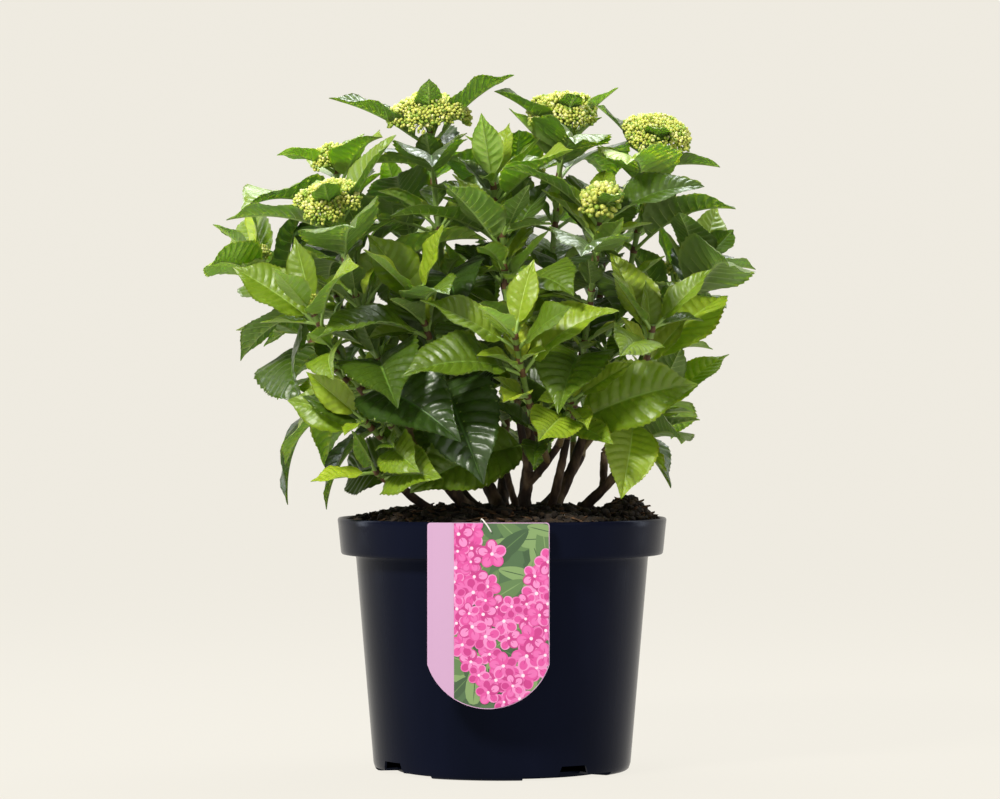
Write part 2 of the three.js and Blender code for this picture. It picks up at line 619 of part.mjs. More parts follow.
function grow() {
  const random = randomFrom(SEED);
  const spines = {};
  const space = new Space();
  for (const limb of LIMBS) spines[limb.name] = spineOf(startOf(limb, spines), vec(...limb.tip), 0.5);
  for (const shoot of SHOOTS) spines[shoot.name] = spineOf(startOf(shoot, spines), vec(...shoot.tip), 0.42);
  for (const item of [...LIMBS, ...SHOOTS]) {
    const points = spines[item.name].getPoints(60);
    space.groups.push(Space.group(item.name, points, [], { own: 0, other: CLEAR_STEM }));
  }
  for (const shoot of SHOOTS)
    if (shoot.head) {
      shoot.cluster = headFrame(shoot, spines[shoot.name]);
      space.groups.push(Space.group(shoot.name, headSamples(shoot.cluster), [], CLEAR_HEAD));
    }
  for (const shoot of SHOOTS) {
    const spine = spines[shoot.name];
    const length = spine.getLength();
    shoot.leaves = [];
    PAIRS.filter((pair) => pair.below < length - 8).forEach((plain, i) => {
      for (const half of [0, 1]) {
        const first = i === 0 && shoot.head > WIDE_HEAD ? UNDER_HEAD : {};
        const pair = { ...plain, ...first, ...(shoot.upright && i + half === 0 && UPRIGHT) };
        const wobble = () => random() * 2 - 1;
        const draw = {
          turn: wobble() * 14,
          rise: wobble() * 9,
          droop: wobble() * 18,
          twist: wobble() * 28,
          fold: 16 + wobble() * 7,
          size: 1 + wobble() * 0.09,
        };
        const angle = radians(shoot.turn + 90 * i + 180 * half + draw.turn);
        for (const change of TRIES) {
          const leaf = leafFrom(spine, length, pair, angle, draw, change);
          const { points, triangles } = bladeSurface(leaf);
          const clear = { own: CLEAR_OWN, other: CLEAR_OTHER };
          const blade = Space.group(shoot.name, points, triangles, clear);
          const stalk = Space.group(shoot.name, stalkPoints(leaf), [], { own: 0, other: CLEAR_OTHER });
          if (!points.every(insideCrown) || space.blocks(blade) || space.blocks(stalk)) continue;
          space.groups.push(blade, stalk);
          shoot.leaves.push(leaf);
          break;
        }
      }
    });
  }
  return spines;
}

// ---------------------------------------------------------------- the plant
const spines = grow();
const plant = new THREE.Group();
plant.add(meshOf("pot", makePot(), COLOURS.pot));
plant.add(meshOf("soil", makeSoil(), COLOURS.soil));
plant.add(meshOf("label", makeLabel(), COLOURS.label));
plant.add(meshOf("label_tie", makeTie(), COLOURS.tie));

const ground = solidFrom(new THREE.BoxGeometry(300, 300, 40).translate(0, 0, SOIL_LEVEL + GAP - 20));
const stems = {}; // each limb's or shoot's own tube, grown by the gap, for cutting its neighbours
function clearOf(item, solid) {
  const near = [...LIMBS, ...SHOOTS].filter(
    (other) => stems[other.name] && (other.name === item.on || other.on === item.on || other.on === item.name),
  );
  return near.reduce((left, other) => (other === item ? left : left.subtract(stems[other.name])), solid);
}

for (const limb of LIMBS) {
  const spine = spines[limb.name];
  const steps = 4;
  const tube = tapered(spine, limb.radii, LIMB_SIDES, steps, 0, limb.base ? 0.9 : 0);
  const solid = limb.base ? tube.subtract(ground) : clearOf(limb, tube);
  stems[limb.name] = tapered(spine, limb.radii, LIMB_SIDES, steps, GAP + 0.1, limb.base ? 0.9 : 0);
  plant.add(meshOf(limb.name, solid, COLOURS.wood));
}

for (const shoot of SHOOTS) {
  const spine = spines[shoot.name];
  const steps = Math.max(3, Math.round(spine.getLength() / 64));
  const parts = [tapered(spine, SHOOT_RADII, SHOOT_SIDES, steps)];
  if (shoot.cluster) parts.push(headSolid(shoot.cluster));
  const fused = joined([...parts, ...shoot.leaves.map(leafSolid)]);
  const solid = outerSkin(clearOf(shoot, fused).simplify(MERGE));
  stems[shoot.name] = tapered(spine, SHOOT_RADII, SHOOT_SIDES, steps, GAP + 0.1);
  plant.add(meshOf(shoot.name, solid, COLOURS.foliage));
}

export default plant;
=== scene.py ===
# A potted mophead hydrangea in bud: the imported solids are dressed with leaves, stems, buds, soil,
# pot and label that grow from the same named sizes and the same seeded rule as the solids.
import itertools
import math

import bpy
import numpy as np
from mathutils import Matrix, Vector
from mathutils.geometry import tessellate_polygon


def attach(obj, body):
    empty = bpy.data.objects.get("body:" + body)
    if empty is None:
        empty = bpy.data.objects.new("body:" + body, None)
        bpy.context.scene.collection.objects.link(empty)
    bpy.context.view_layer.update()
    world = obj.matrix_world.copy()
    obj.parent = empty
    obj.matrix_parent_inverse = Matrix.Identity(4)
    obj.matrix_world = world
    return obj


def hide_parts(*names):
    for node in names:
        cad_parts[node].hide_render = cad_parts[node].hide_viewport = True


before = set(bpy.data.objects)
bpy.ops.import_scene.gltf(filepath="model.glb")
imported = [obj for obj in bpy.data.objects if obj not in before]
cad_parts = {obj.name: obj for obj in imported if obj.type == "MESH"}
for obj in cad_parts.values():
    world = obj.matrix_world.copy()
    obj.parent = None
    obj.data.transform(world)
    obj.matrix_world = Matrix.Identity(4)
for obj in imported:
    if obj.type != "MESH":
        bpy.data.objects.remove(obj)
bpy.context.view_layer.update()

# ---------------------------------------------------------------- sizes shared with the solids, mm
POT_HEIGHT = 172
RIM_RADIUS = 112.5
RIM_LOW_RADIUS = 110
RIM_BAND = 25
BODY_TOP_RADIUS = 100
BASE_RADIUS = 87.5
WALL = 1.6
FLOOR = 4
DRAIN_ANGLES = [-57, 33, 123, 213]
DRAIN = {"low": 27, "high": 19, "height": 9}
FOOT_RELIEF = {"halfAngle": 24, "height": 2.5, "innerRadius": 72}
GAP = 0.3
SOIL_LEVEL = 178
SOIL_EDGE = 168.5
SOIL_FLAT_RADIUS = 58
LUMP = {"x": 86, "y": -20, "spread": 20, "height": 13}
LABEL = {"width": 80, "height": 122, "top": 172, "x": -9, "thickness": 0.6, "bottomRadius": 42}
LABEL_HOLE = {"x": -7.2, "z": 166, "radius": 2.2}
TIE_RADIUS = 0.5
LEAF_LENGTH = 88
LEAF_HALF_WIDTH = 0.33
PETIOLE = 0.17
# how far a leaf stays from others' leaves, its own shoot's leaves, limbs and flower heads
CLEAR_OTHER = 3.6
CLEAR_OWN = 2.5
CLEAR_STEM = 5.5
CLEAR_HEAD = (0, 7)
SAMPLES = (15, 4)
# pairs of leaves down a shoot: millimetres below its tip, size, rise and droop in degrees
PAIRS = [
    (4, 0.5, 58, 10), (14, 0.72, 44, 32), (36, 1.02, 34, 52), (68, 1.08, 24, 60),
    (104, 1.02, 15, 60), (144, 0.9, 8, 55), (182, 0.8, 4, 50),
]
# the first pair under a wide head: size, rise and droop
WIDE_HEAD = 30
UNDER_HEAD = (0.44, 38, 24)
UPRIGHT = (0.5, 80, 8)
UPRIGHT_SHOOT = "shoot_top_left"
# the crown's space: its reach at each height, and the hollow over the soil
CROWN_X = -15
CROWN_DEPTH = 0.95
CROWN_TOP = 476
CROWN_REACH = [(176, 142), (230, 162), (290, 172), (345, 192), (400, 178), (440, 154), (476, 90)]
HOLLOW = {"radius": 70, "edge": 112, "top": 212, "floor": 178}
# name, foot on the soil or the limb it leaves and where, tip, radii at foot and tip
LIMBS = [
    ("stem_left_low", (-42, -20), None, (-66, -44, 192), (3.4, 2.6)),
    ("stem_left", (-18, -14), None, (-54, -36, 218), (4.6, 3.4)),
    ("stem_left_back", (-14, 14), None, (-58, 28, 226), (4.4, 3.2)),
    ("stem_middle", (0, 2), None, (-26, 2, 238), (4.8, 3.4)),
    ("stem_front", (14, -24), None, (18, -32, 204), (4.4, 3.6)),
    ("stem_olive", (32, -6), None, (44, -16, 226), (3.1, 2.6)),
    ("stem_right", (50, -6), None, (84, -16, 210), (3.8, 2.8)),
    ("stem_upright", (14, 12), None, (20, 14, 236), (4.4, 3.2)),
    ("stem_right_back", (34, 20), None, (56, 34, 226), (4.2, 3.2)),
    ("stem_back", (0, 34), None, (2, 60, 224), (4.4, 3.2)),
    ("stem_back_right", (26, 44), None, (56, 80, 212), (3.8, 2.8)),
    ("stub_cut", (12, -8), None, (2, -17, 206), (2.6, 2.4)),
    ("bough_front_left", "stem_front", 1, (12, -40, 238), (3.0, 2.5)),
    ("bough_front_right", "stem_front", 0.7, (38, -46, 222), (2.8, 2.4)),
    ("bough_right", "stem_right", 0.5, (70, 2, 216), (2.8, 2.4)),
]
# name, limb it leaves and where, tip, turn of its leaves, width of its flower head
SHOOTS = [
    ("shoot_top_left", "stem_middle", 1, (-50, 4, 440), 282, 60),
    ("shoot_top_right", "stem_upright", 1, (42, 22, 444), 95, 52),
    ("shoot_tall_right", "stem_right_back", 1, (104, 20, 428), 260, 54),
    ("shoot_front_right", "stem_olive", 1, (66, -72, 383), 95, 34),
    ("shoot_left", "stem_left", 1, (-114, -58, 379), 100, 50),
    ("shoot_left_upper", "stem_left_back", 1, (-116, 40, 414), 35, 36),
    ("shoot_far_left", "stem_left_back", 0.78, (-168, 14, 346), 165, 24),
    ("shoot_far_right", "bough_right", 1, (138, 4, 350), 290, 22),
    ("shoot_middle", "bough_front_left", 1, (0, -62, 366), 150, 0),
    ("shoot_top_middle", "stem_upright", 0.8, (-6, -22, 400), 250, 0),
    ("shoot_middle_left", "stem_middle", 0.72, (-56, -92, 322), 10, 0),
    ("shoot_rosette", "bough_front_right", 1, (46, -88, 254), 15, 0),
    ("shoot_left_bud", "stem_left", 0.78, (-126, -84, 312), 70, 16),
    ("shoot_right_low", "stem_right", 1, (104, -22, 254), 105, 0),
    ("shoot_left_low", "stem_left", 0.55, (-92, -92, 240), 100, 0),
    ("shoot_lowest_left", "stem_left_low", 1, (-86, -66, 206), 200, 0),
    ("shoot_right_front", "stem_right", 0.75, (100, -78, 302), 30, 0),
    ("shoot_front", "bough_front_right", 0.6, (8, -128, 296), 235, 0),
    ("shoot_back_middle", "stem_back", 1, (10, 110, 410), 22, 44),
    ("shoot_back_left", "stem_back", 0.8, (-72, 104, 392), 70, 40),
    ("shoot_back_low", "stem_back", 0.6, (-26, 128, 322), 100, 26),
    ("shoot_back_right", "stem_back_right", 1, (74, 98, 386), 45, 38),
    ("shoot_right_behind", "stem_right_back", 0.75, (122, 62, 336), 20, 28),
    ("shoot_back_corner", "stem_back_right", 0.75, (52, 124, 300), 75, 0),
    ("shoot_left_behind", "stem_left_back", 0.6, (-118, 80, 328), 140, 28),
]
# how far the heads at the front lean over sideways and forwards, for a height of one
NODS = {
    "shoot_top_left": (0, -0.25), "shoot_top_right": (0, -0.35), "shoot_tall_right": (0.1, -0.3),
    "shoot_front_right": (-0.1, -0.8), "shoot_left": (-0.15, -0.45),
    "shoot_left_upper": (0, -0.4),
}
SEED = 20
SHOOT_RADII = (2.5, 1.6)
# changes of turn, rise and size that are tried in order until a leaf finds room
TRIES = [
    (0, 0, 1), (0, 12, 1), (16, 0, 1), (-16, 0, 1), (0, -12, 1), (24, 12, 0.95), (-24, 12, 0.95),
    (0, 26, 0.9), (34, -8, 0.9), (-34, -8, 0.9), (0, -26, 0.9), (30, 24, 0.8), (-30, 24, 0.8),
    (46, 6, 0.78), (-46, 6, 0.78), (0, 8, 0.7), (24, -20, 0.66), (-24, -20, 0.66), (0, 34, 0.66),
    (55, 20, 0.6), (-55, 20, 0.6), (0, 0, 0.55),
]
RINGS = (0, 0.3, 0.7, 1)

# ---------------------------------------------------------------- sizes of the finer leaves
YOUNG = -1  # stands for the pair's number on the leaves that only this file grows
YOUNG_SIZE = (0.3, 0.28)
YOUNG_DROOP = 12
YOUNG_BELOW = (3, 12)  # how far under the pair: in its axils, and between it and the next
YOUNG_CLEAR = (1.8, 2.2)
YOUNG_CLEAR_HEAD = 8
YOUNG_TRIES = ((0, 0, 1), (25, 10, 0.9), (-25, 10, 0.9), (0, -20, 0.8), (0, 14, 0.7))


# ---------------------------------------------------------------- small helpers
def mix(a, b, t):
    return a + (b - a) * t


def unit(v):
    return v / np.linalg.norm(v)


def arr(*v):
    return np.array(v, float)


def random_from(seed):
    state = [seed]

    def draw():
        state[0] = (state[0] * 1664525 + 1013904223) % 4294967296
        return state[0] / 4294967296

    return draw


def pick(random, options):
    return options[int(random() * len(options))]


# ---------------------------------------------------------------- the growth rule
class Spine:
    def __init__(self, start, tip, lift):
        self.start = start
        self.tip = tip
        self.control = arr(
            mix(start[0], tip[0], 0.62), mix(start[1], tip[1], 0.62), mix(start[2], tip[2], lift)
        )

    def point(self, t):
        t = np.asarray(t, float)[..., None]
        return (1 - t) ** 2 * self.start + 2 * t * (1 - t) * self.control + t * t * self.tip

    def tangent(self, t):
        t = np.asarray(t, float)[..., None]
        d = 2 * (1 - t) * (self.control - self.start) + 2 * t * (self.tip - self.control)
        return d / np.linalg.norm(d, axis=-1, keepdims=True)

    def length(self):
        p = self.point(np.linspace(0, 1, 201))
        return float(np.linalg.norm(np.diff(p, axis=0), axis=1).sum())


def outline_at(u):
    u = np.clip(u, 0, 1)
    return np.power(np.maximum(np.sin(np.pi * np.power(u, 0.8)), 0), 0.85) * (1 - 0.25 * u**3)


class Leaf:
    def __init__(self, **facts):
        self.__dict__.update(facts)

    def midrib(self, u):
        u = np.asarray(u, float)[..., None]
        turn = self.bend * u
        forward = self.along * np.cos(turn) - self.normal * np.sin(turn)
        normal = self.along * np.sin(turn) + self.normal * np.cos(turn)
        centre = (
            self.foot
            + self.along * (self.stalk + self.length * np.sin(turn) / self.bend)
            - self.normal * self.length * (1 - np.cos(turn)) / self.bend
        )
        side = np.cross(forward, normal)
        roll = self.twist * u
        return (
            centre,
            side * np.cos(roll) + normal * np.sin(roll),
            normal * np.cos(roll) - side * np.sin(roll),
        )

    def blade(self, u, s, widen=1):
        centre, side, normal = self.midrib(u)
        reach = (s * self.half_width * outline_at(u) * widen)[..., None]
        return (
            centre
            + side * reach * math.cos(self.fold)
            + normal * np.abs(reach) * math.sin(self.fold)
        ), normal

    def surface(self):
        u, s = np.meshgrid(
            np.arange(SAMPLES[0] + 1) / SAMPLES[0],
            np.arange(-SAMPLES[1], SAMPLES[1] + 1) / SAMPLES[1],
            indexing="ij",
        )
        points = self.blade(u.ravel(), s.ravel())[0]
        faces = []
        for i in range(1, len(RINGS)):
            for s in (-1, 1):
                u0, u1 = RINGS[i - 1], RINGS[i]
                a, b, c, d = self.blade(arr(u0, u1, u0, u1), arr(0, 0, s, s))[0]
                faces += [(a, b, c), (b, d, c)]
        return points, np.array(faces)

    def stalk_points(self):
        end = self.blade(arr(0), arr(0))[0][0]
        return np.array([mix(self.foot, end, t) for t in (0.3, 0.5, 0.7, 0.9)])


def distances_to_faces(points, faces):
    """The distance from each point to the nearest flat triangle."""
    p = points[:, None, :]
    a, b, c = faces[:, 0], faces[:, 1], faces[:, 2]
    best = np.full((len(points), len(faces)), np.inf)
    for p0, p1 in ((a, b), (b, c), (c, a)):
        edge = p1 - p0
        size = np.maximum((edge**2).sum(1), 1e-18)
        t = np.clip(((p - p0) * edge).sum(2) / size, 0, 1)
        best = np.minimum(best, np.linalg.norm(p - (p0 + t[..., None] * edge), axis=2))
    normal = np.cross(b - a, c - a)
    flat = (normal**2).sum(1) > 1e-12
    area = np.maximum((normal**2).sum(1), 1e-12)
    w = p - a
    g = (np.cross(b - a, w) * normal).sum(2) / area
    h = (np.cross(w, c - a) * normal).sum(2) / area
    inside = flat & (g >= 0) & (h >= 0) & (g + h <= 1)
    plane = np.abs((w * normal).sum(2)) / np.sqrt(area)
    return np.where(inside, np.minimum(plane, best), best).min(1)


class Group:
    def __init__(self, owner, points, faces, own, other):
        self.owner, self.points, self.faces, self.own, self.other = owner, points, faces, own, other
        self.centre = points.mean(0)
        self.radius = np.linalg.norm(points - self.centre, axis=1).max()


def gap_between(points, group, clear):
    points = points[((points - group.centre) ** 2).sum(1) < (group.radius + clear) ** 2]
    if len(points) == 0:
        return math.inf
    if group.faces is None:
        return np.sqrt(((points[:, None] - group.points[None]) ** 2).sum(2)).min()
    return distances_to_faces(points, group.faces).min()


def blocks(space, one):
    for group in space:
        clear = group.own if group.owner == one.owner else group.other
        if clear == 0:
            continue
        if np.linalg.norm(group.centre - one.centre) > group.radius + one.radius + clear:
            continue
        if gap_between(group.points, one, clear) < clear:
            return True
        if gap_between(one.points, group, clear) < clear:
            return True
    return False


def inside_crown(p):
    share = np.clip(
        (np.hypot(p[:, 0], p[:, 1]) - HOLLOW["radius"]) / (HOLLOW["edge"] - HOLLOW["radius"]), 0, 1
    )
    reach = np.hypot(p[:, 0] - CROWN_X, p[:, 1] / CROWN_DEPTH)
    most = np.interp(p[:, 2], [z for z, _ in CROWN_REACH], [r for _, r in CROWN_REACH])
    floor = mix(HOLLOW["top"], HOLLOW["floor"], share)
    return bool(np.all((p[:, 2] > floor) & (p[:, 2] < CROWN_TOP) & (reach < most)))


class Head:
    """A flower head's own frame and dome, as in the solids."""

    def __init__(self, width, spine, nod):
        self.width = width
        self.along = unit(mix(spine.tangent(1.0), arr(0, 0, 1), 0.5) + arr(*nod, 0))
        self.across = unit(arr(1, 0, 0) - self.along * self.along[0])
        self.other = np.cross(self.along, self.across)
        self.foot = spine.point(1.0)

    def rise(self):
        return 5 + self.width * 0.14

    def dome(self, share):
        return self.rise() + self.width * 0.17 * (1 - share * share)

    def point(self, radius, angle, height):
        return (
            self.foot
            + self.across * (radius * math.cos(angle))
            + self.other * (radius * math.sin(angle))
            + self.along * height
        )

    def distance(self, points):
        away = points[:, None] - self.samples()[None]
        return np.linalg.norm(away, axis=2).min()

    def samples(self):
        return np.array(
            [
                self.point(self.width / 2 * share, i * 2 * math.pi / count, self.dome(share))
                for share, count in ((0, 1), (0.33, 6), (0.67, 9), (1, 14))
                for i in range(count)
            ]
        )


def leaf_from(spine, length, pair, angle, draw, change):
    below, size, rise, droop = pair
    turn, lift, scale = change
    t = 1 - below / length
    along = spine.tangent(t)
    compass = angle + math.radians(turn)
    out = arr(math.cos(compass), math.sin(compass), 0)
    out = unit(out - along * out.dot(along))
    tilt = math.radians(rise + draw["rise"] + lift)
    forward = out * math.cos(tilt) + along * math.sin(tilt)
    normal = unit(along - forward * along.dot(forward))
    long = LEAF_LENGTH * size * draw["size"] * scale
    return Leaf(
        foot=spine.point(t),
        t=t,
        along=forward,
        normal=normal,
        length=long,
        half_width=long * LEAF_HALF_WIDTH * (0.78 if size < 0.6 else 1),
        stalk=long * PETIOLE + SHOOT_RADII[0],
        bend=math.radians(droop + draw["droop"]),
        twist=math.radians(draw["twist"]),
        fold=math.radians(draw["fold"]),
    )


def pairs_of(length):
    return [pair for pair in PAIRS if pair[0] < length - 8]


def find_room(name, spine, pair, angle, draw, space, young=False, head=None):
    """The first changed leaf that has room, whose place is then taken; None where none has."""
    length = spine.length()
    clear = YOUNG_CLEAR if young else (CLEAR_OWN, CLEAR_OTHER)
    for change in YOUNG_TRIES if young else TRIES:
        leaf = leaf_from(spine, length, pair, angle, draw, change)
        points, faces = leaf.surface()
        if not inside_crown(points):
            continue
        if head and head.distance(points) < YOUNG_CLEAR_HEAD:
            continue
        filled = [Group(name, points, faces, *clear)]
        if not young:
            filled.append(Group(name, leaf.stalk_points(), None, 0, CLEAR_OTHER))
        if not any(blocks(space, one) for one in filled):
            space += filled
            return leaf
    return None


def grow():
    """The spines of limbs and shoots, each shoot's leaves, and the flower heads."""
    random = random_from(SEED)
    spines, space, leaves, heads = {}, [], {}, {}

    def either_way():
        return random() * 2 - 1

    def start_on(limb, at):
        start = spines[limb].point(float(at))
        return start + spines[limb].tangent(1.0) * GAP if at == 1 else start

    for name, on, at, tip, _ in LIMBS:
        start = arr(*on, SOIL_LEVEL - 4) if at is None else start_on(on, at)
        spines[name] = Spine(start, arr(*tip), 0.5)
    for name, on, at, tip, _, _ in SHOOTS:
        spines[name] = Spine(start_on(on, at), arr(*tip), 0.42)
    for name, spine in spines.items():
        space.append(Group(name, spine.point(np.linspace(0, 1, 61)), None, 0, CLEAR_STEM))
    for name, _, _, _, _, width in SHOOTS:
        if width:
            heads[name] = Head(width, spines[name], NODS.get(name, (0, 0)))
            space.append(Group(name, heads[name].samples(), None, *CLEAR_HEAD))
    for name, _, _, _, turn, width in SHOOTS:
        spine = spines[name]
        leaves[name] = []
        for i, pair in enumerate(pairs_of(spine.length())):
            for half in (0, 1):
                if i == 0 and width > WIDE_HEAD:
                    upright = name == UPRIGHT_SHOOT and half == 0
                    pair = (pair[0], *(UPRIGHT if upright else UNDER_HEAD))
                draw = {
                    "turn": either_way() * 14,
                    "rise": either_way() * 9,
                    "droop": either_way() * 18,
                    "twist": either_way() * 28,
                    "fold": 16 + either_way() * 7,
                    "size": 1 + either_way() * 0.09,
                }
                angle = math.radians(turn + 90 * i + 180 * half + draw["turn"])
                leaf = find_room(name, spine, pair, angle, draw, space)
                if leaf:
                    leaf.pair = i
                    leaves[name].append(leaf)
    # carried finer: young leaves between the pairs and in their axils, where they find room
    for name, _, _, _, turn, _ in SHOOTS:
        spine = spines[name]
        for i, (below, *_) in enumerate(pairs_of(spine.length())):
            for quarter in range(4 if i else 0):
                size = YOUNG_SIZE[0] + YOUNG_SIZE[1] * random()
                rise = 58 - 10 * (quarter % 2) - 3 * i
                draw = {
                    "rise": random() * 20 - 10,
                    "droop": random() * 40 - 10,
                    "twist": random() * 50 - 25,
                    "fold": 14 + random() * 12,
                    "size": 1,
                }
                angle = math.radians(turn + 90 * i + 90 * quarter + random() * 40 - 20)
                pair = (below - YOUNG_BELOW[quarter % 2], size, rise, YOUNG_DROOP)
                head = heads.get(name)
                leaf = find_room(name, spine, pair, angle, draw, space, young=True, head=head)
                if leaf:
                    leaf.pair = YOUNG
                    leaves[name].append(leaf)
    return spines, leaves, heads


spines, leaves, heads = grow()


# ---------------------------------------------------------------- materials
BUMP_DEPTH = 0.001
GLOSS_SCALE = 70
NET_SCALE = 300
NET_STRENGTH = 0.55


def linear(hex_colour):
    out = []
    for shift in (16, 8, 0):
        c = ((hex_colour >> shift) & 255) / 255
        out.append(c / 12.92 if c <= 0.04045 else ((c + 0.055) / 1.055) ** 2.4)
    return (*out, 1)


def put(material, node, values):
    """Sets a node's inputs, named with underscores: a value, or another node's socket to link."""
    for name, value in values.items():
        socket = node.inputs[name.replace("_", " ")]
        if isinstance(value, bpy.types.NodeSocket):
            material.node_tree.links.new(value, socket)
        else:
            socket.default_value = value


def add_node(material, kind, **values):
    node = material.node_tree.nodes.new("ShaderNode" + kind)
    put(material, node, values)
    return node


def shade(material, **values):
    put(material, material.node_tree.nodes["Principled BSDF"], values)


def plain(name, colour, roughness, coat=0.0, specular=0.5, subsurface=0.0):
    """A material of one colour; its surface detail is in the mesh."""
    m = bpy.data.materials.new(name)
    m.use_nodes = True
    shade(m, Base_Color=linear(colour), Roughness=roughness, Specular_IOR_Level=specular)
    shade(m, Coat_Weight=coat, Coat_Roughness=0.3, Subsurface_Weight=subsurface)
    shade(m, Subsurface_Radius=(0.7, 1.0, 0.12), Subsurface_Scale=0.002)
    return m


def mottled(name, colours, scale, roughness, bump, bump_scale=None, detail=4, stretch=(1, 1, 1),
            rough_spread=0.0):
    """Noise in the part's own coordinates through a ramp of colours, with a noise bump."""
    m = plain(name, 0, roughness)
    place = add_node(m, "TexCoord").outputs["Object"]
    place = add_node(m, "Mapping", Vector=place, Scale=stretch).outputs["Vector"]
    noise = add_node(m, "TexNoise", Vector=place, Scale=scale, Detail=detail).outputs["Fac"]
    ramp = add_node(m, "ValToRGB", Fac=noise)
    elements = ramp.color_ramp.elements
    for i, (at, colour) in enumerate(colours):
        element = elements[i] if i < 2 else elements.new(at)
        element.position = at
        element.color = linear(colour)
    shade(m, Base_Color=ramp.outputs["Color"])
    if rough_spread:
        low, high = roughness - rough_spread, roughness + rough_spread
        spread = add_node(m, "MapRange", Value=noise, To_Min=low, To_Max=high)
        shade(m, Roughness=spread.outputs["Result"])
    fine = add_node(m, "TexNoise", Vector=place, Scale=bump_scale or scale * 3, Detail=5)
    raised = add_node(m, "Bump", Height=fine.outputs["Fac"], Strength=bump, Distance=BUMP_DEPTH)
    shade(m, Normal=raised.outputs["Normal"])
    return m


def leafy(name, colour, roughness, coat=0.0, subsurface=0.3):
    """One colour with an uneven gloss and the fine net of the smallest veins as a bump."""
    m = plain(name, colour, roughness, coat, subsurface=subsurface)
    place = add_node(m, "TexCoord").outputs["Object"]
    gloss = add_node(m, "TexNoise", Vector=place, Scale=GLOSS_SCALE, Detail=3)
    spread = add_node(
        m, "MapRange", Value=gloss.outputs["Fac"], From_Min=0.3, From_Max=0.7,
        To_Min=roughness - 0.07, To_Max=roughness + 0.1)
    net = add_node(m, "TexVoronoi", Vector=place, Scale=NET_SCALE)
    net.feature = "SMOOTH_F1"
    raised = add_node(
        m, "Bump", Height=net.outputs["Distance"], Strength=NET_STRENGTH, Distance=BUMP_DEPTH)
    raised.invert = True
    shade(m, Roughness=spread.outputs["Result"], Normal=raised.outputs["Normal"])
    return m


TONES = ("deep", "dark", "green", "mid", "fresh", "young")
LEAF_TOPS = [
    leafy("leaf_" + tone, *facts)
    for tone, facts in zip(TONES, (
        (0x2A4010, 0.37, 0.3, 0.1), (0x3E5511, 0.38, 0.25, 0.2), (0x566E15, 0.4, 0.2, 0.3),
        (0x6E861A, 0.42, 0.15, 0.35), (0x879E24, 0.44, 0.1, 0.4), (0xA2B633, 0.46, 0.1, 0.45),
    ))
]
VEIN_COLOURS = (0x46662A, 0x5B7A2C, 0x728F38, 0x8AA644, 0xA3BC55, 0xB8CC66)
LEAF_VEINS = [leafy("vein_" + tone, colour, 0.5) for tone, colour in zip(TONES, VEIN_COLOURS)]
MIDDLE_TONE = 3
UNDER_DULL = leafy("under_dull", 0x6B8242, 0.62)
UNDER_FRESH = leafy("under_fresh", 0x87A04C, 0.6, subsurface=0.4)
UNDER_VEIN = leafy("under_vein", 0x9DB26A, 0.6)
PETIOLE_GREEN = plain("petiole_green", 0x8FAE55, 0.45)
SHOOT_GREEN = mottled(
    "shoot_green", [(0.3, 0x6F8F3C), (0.62, 0x7F9A48), (0.72, 0x6B5A35)], 260, 0.5, 0.25, 900)
SHOOT_BROWN = mottled(
    "shoot_brown", [(0.35, 0x5D4A30), (0.6, 0x7A6840), (0.75, 0x4A3526)], 180, 0.65, 0.4, 700)
NODE_BROWN = mottled(
    "node_brown", [(0.35, 0x4B3020), (0.6, 0x6B4A2C), (0.75, 0x3A2418)], 300, 0.65, 0.4, 900)
BARK = mottled(
    "bark", [(0.32, 0x1E1511), (0.5, 0x3E2C20), (0.62, 0x64503C), (0.78, 0x94806A)],
    120, 0.85, 0.8, 520, detail=8, stretch=(1, 1, 0.35))
CUT_WOOD = mottled("cut_wood", [(0.4, 0x8D7350), (0.6, 0xA98F68)], 400, 0.8, 0.3)
BUDS = [
    plain("bud_" + name, colour, 0.5, subsurface=0.2)
    for name, colour in (
        ("yellow", 0xC9CC62), ("green", 0x8FA83A), ("pale", 0xE4E29A), ("lime", 0xB2BE52))
]
RAY_GREEN = plain("ray_green", 0x9DB458, 0.5)
SOIL = mottled(
    "soil", [(0.3, 0x15100C), (0.5, 0x2A2018), (0.64, 0x41311F), (0.78, 0x5A4630)],
    190, 0.95, 0.9, 700, detail=9)
SOIL_BARK = mottled(
    "soil_bark", [(0.35, 0x3A2718), (0.6, 0x5E4127), (0.75, 0x7B5B38)], 220, 0.9, 0.6)
POT = mottled(
    "pot_plastic", [(0.3, 0x080B17), (0.7, 0x0E1122)], 14, 0.21, 0.05, 260, stretch=(1, 1, 0.25),
    rough_spread=0.08)
shade(POT, Specular_IOR_Level=0.07, Specular_Tint=(0.5, 0.62, 1, 1))
TIE = plain("tie_white", 0xE9E7E2, 0.35, 0.2)
CARD = plain("card_lilac", 0xC9A0C4, 0.35, 0.2)
CARD_BACK = plain("card_back", 0xEDEBE6, 0.45)


